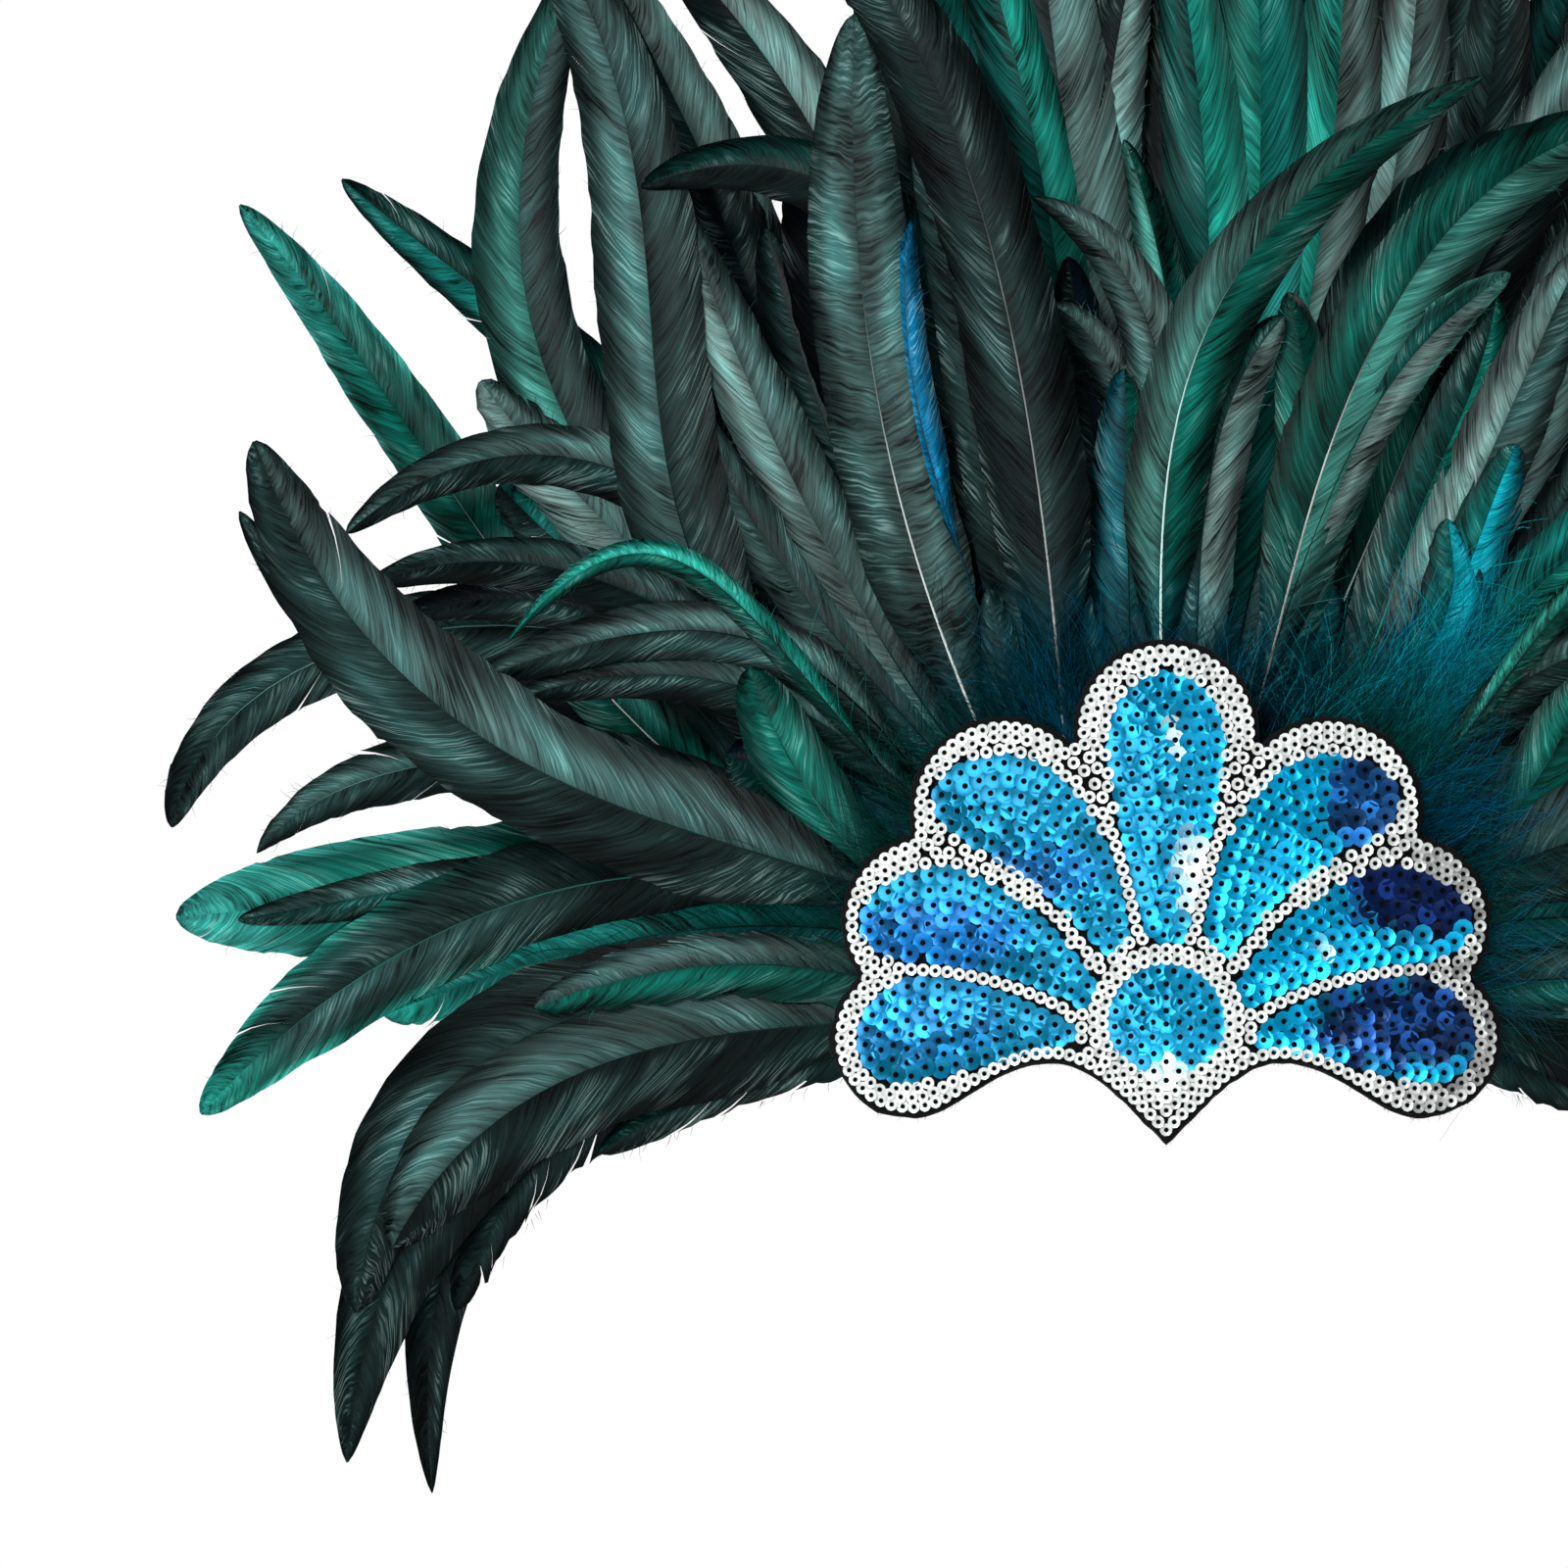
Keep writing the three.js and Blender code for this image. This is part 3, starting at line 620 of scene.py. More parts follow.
def addVane(heap, feather, side, slab, layer, root):
    spine = feather["spine"]
    cut = cuts[feather["cut"]]
    count = int(np.clip(spine.length * vane["perMm"], *vane["steps"]))
    bare = cut["start"] * vane["rootShare"]
    ts = 1 - (1 - bare) * (1 - np.linspace(0, 1, count) ** vane["crowding"]) - vane["tipShort"]
    spots = np.arange(split["first"], count - split["last"], split["every"])
    splits = np.sort(rng.choice(spots, min(cut["splits"], count // split["stepsEach"]), replace=False))
    edges = [0, *splits, count - 1]
    jag = -cut["jag"] * jagged["fine"] * (1 + wander(count, jagged["fineStep"]))
    jag -= cut["jag"] * jagged["coarse"] * (1 + wander(count, jagged["coarseStep"]))
    s = np.linspace(0, 1, vane["across"] + 1)
    tilt = vane["tilt"] * rng.uniform(-1, 1)
    lean = cut["sweep"] * rng.uniform(*vane["lean"])
    name = feather["left"] if side > 0 else feather["right"]
    seed = rng.uniform(*seeds)
    # Where this vane half's painted highlight lies, and how dark its painted edge shade is
    paintedLight = {key: rng.uniform(*limits) for key, limits in paint["paintedLight"].items()}
    level = heap.row(vane["bakeHeight"] * feather["halfMm"])
    thick = (vane["thick"] + (vane["edgeThick"] - vane["thick"]) * s) / 2
    for a, b in zip(edges[:-1], edges[1:]):
        t = ts[a : b + 1]
        sweep = np.minimum(lean * halfWidth(t, feather) / spine.length, vane["sweepMost"] * (1 - t))
        along = t[:, None] + sweep[:, None] * s ** vane["sweepPower"]
        opening = cut["gap"] * rng.uniform(*vane["opening"], 2) / spine.length
        opening *= [a > 0, b < count - 1]
        nearness = np.exp(-np.abs(t[:, None] - t[[0, -1]]) * spine.length / vane["openingReach"])
        along += (nearness @ (opening * [1, -1]))[:, None] * s**3
        ragged = jag[a : b + 1, None] + vane["uneven"] * rng.normal()
        half = halfWidth(along, feather) * s * (1 + ragged * s**2)
        flat = spine.at(along) + side * half[..., None] * spine.left(along)
        x, z = flat[..., 0], flat[..., 1]
        y = layerDepth(x, z, slab, layer) + side * tilt * half
        y += (vane["camber"] * half + vane["lift"] * rng.uniform(-1, 1)) * s**2
        shares = np.tile(s, (len(t), 1))
        colours = paintVane(feather, name, root, paintedLight, along, shares, reachOf(x, z))
        colours[..., :3] *= rng.uniform(*vane["tones"])
        barbs = np.stack([np.repeat(t[:, None] * spine.length, len(s), 1), side * shares, 0 * x + seed], -1)
        front = np.stack([x, y - thick, z], -1)
        back = np.stack([x, y + thick, z], -1)
        heap.web(front, back, colours, barbs, ((a / (count - 1), b / (count - 1)), level))


# Quill: radii in mm, where its middle is, how proud of the vane it stands, and where each pale one darkens
quill = {
    "root": 0.42,
    "middle": 0.22,
    "tip": 0.06,
    "middleAt": 0.35,
    "end": 0.97,
    "sides": 5,
    "steps": 26,
    "proud": 0.35,
    "streaks": 3,
    "fade": 0.45,
    "faded": {"white": 0.75, "bright": 0.75, "silver": 1.6, "pale": 1.6, "": 0.75},
}


def addQuill(heap, feather, slab, layer):
    t = np.linspace(0, quill["end"], quill["steps"])
    flat = feather["spine"].at(t)
    radius = np.interp(t, [0, quill["middleAt"], 1], [quill["root"], quill["middle"], quill["tip"]])
    y = layerDepth(flat[:, 0], flat[:, 1], slab, layer) - quill["proud"] * radius
    pale = tint(feather["quill"] or "raven")
    shade = (tint("raven") + tint(feather["left"])) / 2
    faded = quill["faded"][feather["quill"]]
    colours = pale + (shade - pale) * smoothstep(t, faded - quill["fade"], faded)[:, None]
    colours = np.concatenate([colours, np.zeros((len(t), 1))], 1)
    barbs = np.stack([t * quill["streaks"], 0 * t, 0 * t + rng.uniform(*seeds)], 1)
    centres = np.stack([flat[:, 0], y, flat[:, 1]], 1)
    span = ((0, 1), heap.row(2.0))
    heap.tubes(centres[None], radius[None], colours[None], barbs[None], span, quill["sides"])


# Loose barbs: how many, where along the feather, how far out they start, lean in degrees, length, radius
down = {
    "many": 30,
    "t": (0.05, 0.36),
    "out": 0.0,
    "lean": (22, 62),
    "length": (6, 22),
    "radius": 0.1,
    "steps": 5,
}
downyFoot = dict(down, many=72, t=(0.05, 0.75))
fray = {
    "many": 38,
    "t": (0.36, 0.97),
    "out": 0.84,
    "lean": (24, 60),
    "length": (1.2, 3.4),
    "radius": 0.07,
    "steps": 3,
}
looseForm = {
    "curl": (-0.5, 0.5),
    "proud": 0.2,
    "depth": (-1.0, 0.6),
    "depthPower": 1.5,
    "taper": 0.75,
    "radii": (0.7, 1.2),
    "tones": (0.5, 1.4),
    "streaks": 0.4,
}


def addBarbs(heap, feather, slab, layer, root, loose):  # at the foot of the vane or along its edges
    spine = feather["spine"]
    many = loose["many"]
    t = rng.uniform(*loose["t"], many)
    side = rng.choice([-1, 1], many)
    left = spine.left(t) * side[:, None]
    start = spine.at(t) + (loose["out"] * halfWidth(t, feather))[:, None] * left
    way = np.stack([left[:, 1] * side, -left[:, 0] * side], 1)
    lean = np.radians(rng.uniform(*loose["lean"], many))
    length = rng.uniform(*loose["length"], many)
    share = np.linspace(0, 1, loose["steps"])
    curl = rng.uniform(*looseForm["curl"], many)
    angle = (lean[:, None] + curl[:, None] * share)[..., None]
    step = length[:, None] * share
    flat = start[:, None] + step[..., None] * (np.cos(angle) * way[:, None] + np.sin(angle) * left[:, None])
    x, z = flat[..., 0], flat[..., 1]
    depth = rng.uniform(*looseForm["depth"], many)[:, None] * share ** looseForm["depthPower"]
    y = layerDepth(x, z, slab, layer) - looseForm["proud"] + depth
    radius = loose["radius"] * (1 - looseForm["taper"] * share)
    radius = radius * rng.uniform(*looseForm["radii"], many)[:, None]
    # Near the hub the barbs take the root's tint, partly the feathers' own colour there and partly painted
    # shade
    rootToneAndShade = 1 - smoothstep(reachOf(x, z), *paint["barbsRootToneAndShade"])
    tone = np.where(side[:, None] > 0, tint(feather["left"]), tint(feather["right"]))[:, None]
    colours = tone + (tint(root) - tone) * rootToneAndShade[..., None]
    colours = colours * rng.uniform(*looseForm["tones"], many)[:, None, None]
    colours = np.concatenate([colours, np.zeros(x.shape + (1,))], -1)
    seed = np.repeat(rng.uniform(*seeds, many)[:, None], len(share), 1)
    barbs = np.stack([step * looseForm["streaks"], 0 * x, seed], -1)
    heap.tubes(np.stack([x, y, z], -1), radius, colours, barbs, ((0, 1), heap.row(3.0)))


# Tufts: bearings in degrees, root circle, lengths, barbs and tints, and how the barbs clump and bend
tuftColumns = "from to reach shortest longest many tints".split()
tuftForm = {
    "perClump": 26,
    "fewest": 3,
    "scatter": 2.2,
    "fanOut": 10,
    "curl": 0.35,
    "curlPower": 1.5,
    "rootScatter": 4,
    "depth": (0.1, 2.6),
    "depthPower": 0.7,
    "radius": 0.09,
    "taper": 0.7,
    "radii": (0.6, 1.2),
    "tones": (0.5, 1.4),
    "streaks": 0.3,
    "steps": 5,
}


def addTufts(heap, tuft, slab, mirrored):  # fluff that fans out from a circle behind the palmette
    many = tuft["many"]
    clump = rng.uniform(tuft["from"], tuft["to"], max(tuftForm["fewest"], many // tuftForm["perClump"]))
    which = rng.integers(0, len(clump), many)
    bearing = np.radians(clump[which] + rng.normal(0, tuftForm["scatter"], many))
    toward = bearing + np.radians(rng.normal(0, tuftForm["fanOut"], many))
    share = np.linspace(0, 1, tuftForm["steps"])
    length = rng.uniform(tuft["shortest"], tuft["longest"], many)
    curl = rng.normal(0, tuftForm["curl"], many)[:, None] * share ** tuftForm["curlPower"]
    angle = toward[:, None] + curl
    step = length[:, None] * share
    root = tuft["reach"] + rng.normal(0, tuftForm["rootScatter"], many)
    x = root[:, None] * np.cos(bearing)[:, None] + step * np.cos(angle)
    z = fan["hubZ"] + root[:, None] * np.sin(bearing)[:, None] + step * np.sin(angle)
    if mirrored:
        x = -x
    proud = rng.uniform(*tuftForm["depth"], many)[:, None] * share ** tuftForm["depthPower"]
    y = layerDepth(x, z, slab, 0) - proud
    radius = tuftForm["radius"] * (1 - tuftForm["taper"] * share)
    radius = radius * rng.uniform(*tuftForm["radii"], many)[:, None]
    names = np.array([tints[name] for name in tuft["tints"].split()])
    tone = names[rng.integers(0, len(names), len(clump))][which]
    tone = tone * rng.uniform(*tuftForm["tones"], (many, 1))
    colours = np.repeat(np.concatenate([tone, np.zeros((many, 1))], 1)[:, None], len(share), 1)
    seed = np.repeat(rng.uniform(*seeds, many)[:, None], len(share), 1)
    barbs = np.stack([step * tuftForm["streaks"], 0 * x, seed], -1)
    heap.tubes(np.stack([x, y, z], -1), radius, colours, barbs, ((0, 1), heap.row(4.0)))


tapes = {
    "crown": {"x0": -33, "x1": 38, "z0": 14, "z1": 52},
    "side": {"x0": -46, "x1": -18, "z0": 12, "z1": 52},
    "droop": {"x0": -46, "x1": -18, "z0": -2, "z1": 16},
}
tapeForm = {"along": 25, "across": 9, "half": 0.75, "edgeLoss": 0.6, "edgePower": 6, "bakeHeight": 40}
stitch = {
    "ends": (2, 3),
    "fromEdge": 4,
    "pitch": 3.2,
    "length": 2.2,
    "steps": 5,
    "out": 0.72,
    "rise": 0.16,
    "radius": 0.18,
    "sides": 4,
}


def addTape(heap, tape, slab, mirrored):  # a cotton strip with two rows of stitches
    x0, x1 = (-tape["x1"], -tape["x0"]) if mirrored else (tape["x0"], tape["x1"])
    across = tapeForm["across"]
    levels = np.linspace(tape["z0"], tape["z1"], across)
    x, z = np.meshgrid(np.linspace(x0, x1, tapeForm["along"]), levels, indexing="ij")
    y = layerDepth(x, z, slab, fan["tapeLayer"])
    edge = np.abs(np.linspace(-1, 1, across)) ** tapeForm["edgePower"]
    half = tapeForm["half"] * (1 - edge * tapeForm["edgeLoss"])
    colours = plainColour(tint("cotton"), x.shape)
    barbs = np.stack([x, z, 0 * x], -1)
    span = ((0, 1), heap.row(tapeForm["bakeHeight"]))
    heap.web(np.stack([x, y - half, z], -1), np.stack([x, y + half, z], -1), colours, barbs, span, 1)
    starts = np.arange(x0 + stitch["ends"][0], x1 - stitch["ends"][1], stitch["pitch"])
    arch = stitch["out"] + stitch["rise"] * np.sin(np.linspace(0, math.pi, stitch["steps"]))
    for level in (tape["z0"] + stitch["fromEdge"], tape["z1"] - stitch["fromEdge"]):
        sx = starts[:, None] + np.linspace(0, stitch["length"], stitch["steps"])
        sy = layerDepth(sx, 0 * sx + level, slab, fan["tapeLayer"]) + arch
        thread = plainColour(tint("slate"), sx.shape)
        centres = np.stack([sx, sy, 0 * sx + level], -1)
        span = ((0, 1), heap.row(2.0))
        heap.tubes(centres, 0 * sx + stitch["radius"], thread, 0 * centres, span, stitch["sides"], 1)


# One row per feather, rear one first, in photo pixels, with the tints left and right of its quill, seen
# toward its tip; a lighter half is partly painted sheen and a darker one partly painted shade. A filling
# feather lies just in front of the feather whose number it has, counted from 0; the near-black ones stand
# partly for painted shade in the gaps of the fan.
crownBack = {
    "slab": 0,
    "tape": "crown",
    "root": "dusk",
    "feathers": [
        [1140, 850, 1090, 560, 1010, 220, 930, -70, 125, "coque", "slate", "teal", "", ""],
        [1160, 850, 1130, 560, 1095, 200, 1050, -140, 120, "coque", "slate", "silver", "", ""],
        [1150, 850, 1120, 560, 1075, 250, 990, -100, 110, "coque", "teal", "bright", "", ""],
        [1260, 850, 1390, 620, 1540, 330, 1650, -60, 125, "coque", "slate", "grey", "", ""],
        [1250, 850, 1350, 600, 1470, 300, 1545, -90, 120, "coque", "slate", "raven", "", ""],
        [1235, 850, 1280, 590, 1345, 270, 1370, -150, 115, "coque", "bright", "silver", "", ""],
        [1215, 850, 1245, 600, 1285, 260, 1272, -165, 125, "coque", "bright", "teal", "", ""],
        [1200, 850, 1215, 600, 1235, 300, 1195, -130, 105, "coque", "teal", "bright", "", ""],
    ],
    "fill": {
        0: [
            [1120, 870, 1040, 580, 960, 260, 905, -60, 150, "coque", "raven", "deep", "", ""],
            [1180, 850, 1170, 560, 1150, 240, 1120, -155, 180, "coque", "deep", "raven", "", ""],
            [1200, 850, 1230, 560, 1240, 240, 1215, -172, 150, "coque", "raven", "deep", "", ""],
            [1220, 850, 1290, 570, 1350, 260, 1335, -125, 180, "coque", "deep", "raven", "", ""],
            [1230, 850, 1330, 590, 1430, 290, 1490, -130, 150, "coque", "raven", "slate", "", ""],
            [1250, 850, 1380, 600, 1520, 290, 1620, -85, 150, "coque", "deep", "raven", "", ""],
            [1165, 850, 1145, 590, 1125, 250, 1165, -95, 95, "coque", "raven", "silver", "", ""],
        ],
        4: [[1240, 850, 1310, 600, 1400, 290, 1455, -105, 115, "coque", "silver", "silver", "", ""]],
    },
}
crownMid = {
    "slab": 2,
    "tape": "crown",
    "root": "dusk",
    "feathers": [
        [1075, 860, 960, 690, 860, 480, 780, 230, 95, "coque", "raven", "slate", "", ""],
        [1160, 850, 1140, 650, 1120, 460, 1090, 260, 85, "coque", "raven", "navy", "", ""],
        [1260, 850, 1360, 640, 1440, 450, 1500, 300, 95, "coque", "green", "deep", "", "white"],
        [1275, 880, 1420, 690, 1530, 440, 1640, 200, 90, "coque", "silver", "silver", "", ""],
        [1200, 850, 1210, 620, 1200, 370, 1148, 140, 55, "coque", "pale", "green", "", ""],
        [1190, 850, 1200, 620, 1180, 370, 1055, 195, 66, "sickle", "grey", "silver", "", ""],
    ],
    "fill": {
        0: [
            [1090, 870, 985, 620, 880, 380, 818, 140, 110, "coque", "ink", "raven", "", ""],
            [1090, 880, 1020, 560, 950, 230, 895, -110, 118, "coque", "raven", "slate", "", ""],
        ],
        3: [[1180, 850, 1185, 650, 1155, 430, 1075, 308, 55, "coque", "grey", "silver", "", ""]],
    },
}
crownFront = {
    "slab": 4,
    "tape": "crown",
    "root": "dusk",
    "tufts": [
        [28, 62, 56, 16, 40, 600, "teal dusk cyan"],
        [36, 53, 74, 18, 46, 560, "cyan cyan cyan blue"],
        [52, 78, 50, 12, 30, 500, "navy dusk cyan"],
        [78, 132, 54, 12, 30, 900, "navy dusk dusk blue"],
    ],
    "feathers": [
        [1165, 850, 1155, 690, 1150, 540, 1150, 375, 90, "downy", "dusk", "green", "", ""],
        [1330, 870, 1450, 720, 1600, 570, 1760, 440, 90, "coque", "teal", "bright", "", "bright"],
        [1235, 850, 1315, 640, 1335, 450, 1312, 298, 72, "coque", "green", "green", "", ""],
        [1300, 880, 1400, 660, 1470, 480, 1525, 300, 80, "coque", "deep", "green", "", "bright"],
        [1340, 860, 1430, 720, 1500, 580, 1555, 455, 90, "downy", "teal", "cyan", "", ""],
        [1200, 850, 1222, 660, 1240, 470, 1308, 318, 72, "coque", "deep", "silver", "", ""],
        [1240, 850, 1330, 550, 1440, 280, 1690, 120, 108, "coque", "green", "pale", "", "white"],
        [1085, 880, 1040, 600, 990, 320, 925, 90, 75, "coque", "slate", "deep", "", ""],
        [1070, 890, 950, 615, 884, 330, 872, 12, 110, "barred", "grey", "grey", "", "white"],
        [1095, 880, 1068, 560, 994, 190, 828, -90, 112, "coque", "brown", "brown", "", "white"],
        [1185, 850, 1185, 560, 1250, 300, 1518, 78, 88, "sickle", "moss", "green", "", "white"],
    ],
    "fill": {
        0: [
            [1350, 890, 1500, 770, 1640, 690, 1800, 640, 90, "downy", "teal", "cyan", "", "bright"],
            [1100, 900, 1060, 800, 1010, 700, 955, 600, 130, "downy", "dusk", "navy", "", ""],
            [1150, 880, 1130, 790, 1105, 690, 1075, 590, 110, "downy", "navy", "dusk", "", ""],
            [1200, 870, 1195, 780, 1190, 680, 1190, 570, 110, "downy", "navy", "dusk", "", ""],
            [1260, 880, 1290, 780, 1320, 690, 1350, 590, 120, "downy", "navy", "dusk", "", ""],
            [1300, 900, 1350, 800, 1400, 710, 1450, 610, 130, "downy", "dusk", "navy", "", ""],
        ],
        3: [[1300, 880, 1440, 640, 1530, 440, 1625, 250, 88, "coque", "silver", "grey", "", ""]],
        4: [[1320, 870, 1410, 740, 1460, 640, 1486, 530, 90, "downy", "teal", "cyan", "", ""]],
        5: [[1240, 850, 1335, 560, 1420, 390, 1545, 280, 60, "coque", "deep", "silver", "pale", ""]],
        7: [[1080, 880, 1006, 640, 940, 430, 930, 224, 44, "tipped", "blue", "blue", "", ""]],
        8: [[1060, 880, 1045, 790, 1030, 700, 1010, 600, 55, "downy", "grey", "slate", "", ""]],
    },
}
sideBack = {
    "slab": 1,
    "tape": "side",
    "root": "dusk",
    "feathers": [
        [1085, 865, 890, 520, 740, 205, 585, -100, 98, "coque", "slate", "silver", "", ""],
        [1095, 850, 995, 520, 855, 175, 642, -95, 100, "coque", "raven", "silver", "", ""],
        [1085, 905, 826, 602, 594, 380, 348, 173, 78, "coque", "teal", "deep", "", "pale"],
        [1080, 960, 708, 792, 467, 512, 238, 204, 82, "coque", "green", "green", "mint", "white"],
        [1030, 955, 720, 802, 438, 780, 257, 871, 74, "hackle", "slate", "grey", "", "silver"],
        [1040, 930, 700, 671, 354, 657, 170, 845, 82, "coque", "slate", "slate", "", "silver"],
    ],
    "fill": {
        0: [
            [1075, 870, 955, 640, 820, 410, 710, 150, 150, "coque", "ink", "raven", "", ""],
            [1060, 880, 900, 690, 765, 520, 690, 300, 120, "coque", "raven", "ink", "", ""],
            [1040, 940, 880, 850, 690, 760, 440, 690, 130, "coque", "ink", "raven", "", ""],
        ],
        3: [[1050, 920, 860, 770, 680, 640, 510, 490, 124, "downy", "slate", "teal", "", ""]],
    },
}
sideMid = {
    "slab": 3,
    "tape": "side",
    "root": "dusk",
    "feathers": [
        [1055, 865, 770, 668, 550, 358, 600, -60, 108, "coque", "pale", "slate", "", ""],
        [1050, 895, 862, 658, 626, 477, 350, 543, 72, "coque", "brown", "grey", "", ""],
        [1060, 860, 930, 700, 800, 470, 697, 212, 85, "coque", "silver", "grey", "", ""],
        [1050, 885, 720, 600, 659, 270, 537, -110, 118, "coque", "grey", "slate", "", ""],
        [1085, 850, 1030, 560, 915, 250, 652, 186, 92, "coque", "raven", "deep", "", ""],
        [1040, 905, 830, 720, 610, 590, 372, 598, 66, "coque", "raven", "slate", "", ""],
        [1030, 975, 740, 908, 450, 912, 175, 935, 142, "coque", "green", "green", "mint", ""],
        [1020, 985, 800, 945, 590, 970, 390, 1038, 108, "downy", "teal", "teal", "bright", ""],
        [1020, 965, 700, 890, 430, 962, 202, 1140, 108, "coque", "slate", "slate", "bright", "pale"],
    ],
    "fill": {
        0: [
            [1060, 900, 990, 830, 910, 750, 820, 680, 130, "downy", "deep", "navy", "", ""],
            [1040, 940, 950, 880, 850, 820, 740, 770, 130, "downy", "deep", "navy", "", ""],
            [1030, 1000, 930, 985, 830, 965, 720, 950, 130, "downy", "navy", "deep", "", ""],
            [1050, 880, 850, 730, 660, 570, 490, 385, 115, "downy", "silver", "grey", "", ""],
        ],
        2: [[1050, 870, 930, 740, 800, 580, 700, 400, 62, "coque", "grey", "slate", "", ""]],
        4: [[1040, 910, 840, 760, 620, 630, 385, 640, 60, "coque", "raven", "ink", "", ""]],
        6: [
            [1030, 975, 760, 908, 500, 902, 238, 934, 58, "coque", "deep", "slate", "", ""],
            [1020, 980, 820, 915, 640, 925, 470, 965, 60, "downy", "teal", "bright", "", ""],
        ],
    },
}
sideDroop = {
    "slab": 5,
    "tape": "droop",
    "root": "deep",
    "downLength": (2, 7),
    "feathers": [
        [1000, 1050, 750, 1065, 514, 1170, 441, 1527, 92, "sickle", "brown", "brown", "", ""],
        [1000, 1050, 790, 1072, 604, 1134, 462, 1338, 90, "downy", "raven", "raven", "", ""],
        [1000, 1045, 745, 1050, 490, 1160, 352, 1496, 128, "sickle", "raven", "raven", "", ""],
        [1005, 1030, 760, 1010, 506, 1078, 362, 1342, 128, "coque", "raven", "slate", "", ""],
        [1010, 1038, 790, 1050, 570, 1105, 400, 1275, 140, "coque", "raven", "grey", "", ""],
        [1010, 1010, 860, 995, 710, 985, 545, 1030, 80, "downy", "green", "grey", "", ""],
    ],
    "fill": {
        1: [[1000, 1052, 900, 1064, 785, 1092, 610, 1178, 70, "downy", "raven", "deep", "", ""]],
    },
}
sideFront = {
    "slab": 6,
    "tape": "side",
    "root": "deep",
    "tufts": [
        [132, 176, 58, 10, 26, 700, "navy deep green"],
        [176, 195, 58, 5, 12, 240, "deep raven navy"],
    ],
    "leftTufts": [[138, 192, 62, 14, 36, 800, "teal dusk blue"]],
    "feathers": [
        [1020, 900, 870, 760, 710, 690, 520, 715, 60, "coque", "raven", "slate", "", ""],
        [1010, 905, 850, 700, 680, 640, 475, 702, 62, "coque", "slate", "grey", "", ""],
        [1000, 880, 830, 700, 690, 572, 517, 657, 34, "sickle", "green", "bright", "", ""],
        [1000, 960, 900, 900, 815, 790, 765, 680, 88, "coque", "green", "green", "", "pale"],
        [1015, 975, 770, 870, 484, 748, 258, 448, 138, "coque", "slate", "grey", "", ""],
    ],
    "fill": {
        3: [[1015, 975, 770, 885, 490, 768, 246, 518, 66, "coque", "raven", "slate", "", ""]],
    },
}

vaneFinish = vaneMaterial()
tapeFinish = tapeMaterial()


def bunch(name, spec, mirrored=False):
    heap = Heap()
    slab, root = spec["slab"], spec["root"]
    order = []
    for i, row in enumerate(spec["feathers"]):
        turn = mirrorTurns[i % len(mirrorTurns)]
        order.append((row, turn))
        order += [(extra, turn) for extra in spec["fill"].get(i, [])]
    addTape(heap, tapes[spec["tape"]], slab, mirrored)
    for i, (row, turn) in enumerate(order):
        feather = readFeather(row, turn, mirrored)
        layer = 1 - i / (len(order) - 1)
        for side in (1, -1):
            addVane(heap, feather, side, slab, layer, root)
        addQuill(heap, feather, slab, layer)
        foot = downyFoot if feather["cut"] == "downy" else down
        foot = dict(foot, length=spec.get("downLength", foot["length"]))
        for loose in (foot, fray):
            addBarbs(heap, feather, slab, layer, root, loose)
    for row in spec.get("tufts", []) + (spec.get("leftTufts", []) if mirrored else []):
        addTufts(heap, dict(zip(tuftColumns, row)), slab, mirrored)
    piece = heap.build("feathers_" + name, [vaneFinish, tapeFinish])
    place(piece, "plume_" + name)
    triangles = sum(face.loop_total - 2 for face in piece.data.polygons)
    print("bunch", name, len(order), "feathers", triangles, "triangles")


bunch("crown_back", crownBack)
bunch("crown_mid", crownMid)
bunch("crown_front", crownFront)
for hand, mirrored in (("right", False), ("left", True)):
    bunch(hand + "_back", sideBack, mirrored)
    bunch(hand + "_mid", sideMid, mirrored)
    bunch(hand + "_droop", sideDroop, mirrored)
    bunch(hand + "_front", sideFront, mirrored)

# Palmette outline: round lobes on the +X side, from the low one up, a nose point and an arch over each brow
palmette = {
    "lobes": [(58.2, 2.2, 18), (53.8, 28.7, 20), (36.7, 53.8, 21.6), (0, 71.6, 21.2)],
    "noseZ": -22.0,
    "noseLift": 1.4,
    "archX": 26,
    "archZ": -3.4,
    "ease": 9,
    "exit": -120,
    "steps": 40,
    "closest": 0.01,
}
lookAhead = 0.3  # how far on a line's way is read, in mm
openGrid = {"from": (-78, -24), "to": (78, 96), "step": 0.6}


def bezier(a, b, c, d):
    return cubic(np.array([a, b, c, d]), np.linspace(0, 1, palmette["steps"])[:, None])


def meeting(a, b):  # where two neighbouring lobes meet, on the outside
    gap = np.subtract(b[:2], a[:2])
    apart = np.linalg.norm(gap)
    along = (apart**2 + a[2] ** 2 - b[2] ** 2) / (2 * apart)
    out = math.sqrt(a[2] ** 2 - along**2)
    return np.array(a[:2]) + (along * gap + out * np.array([gap[1], -gap[0]])) / apart


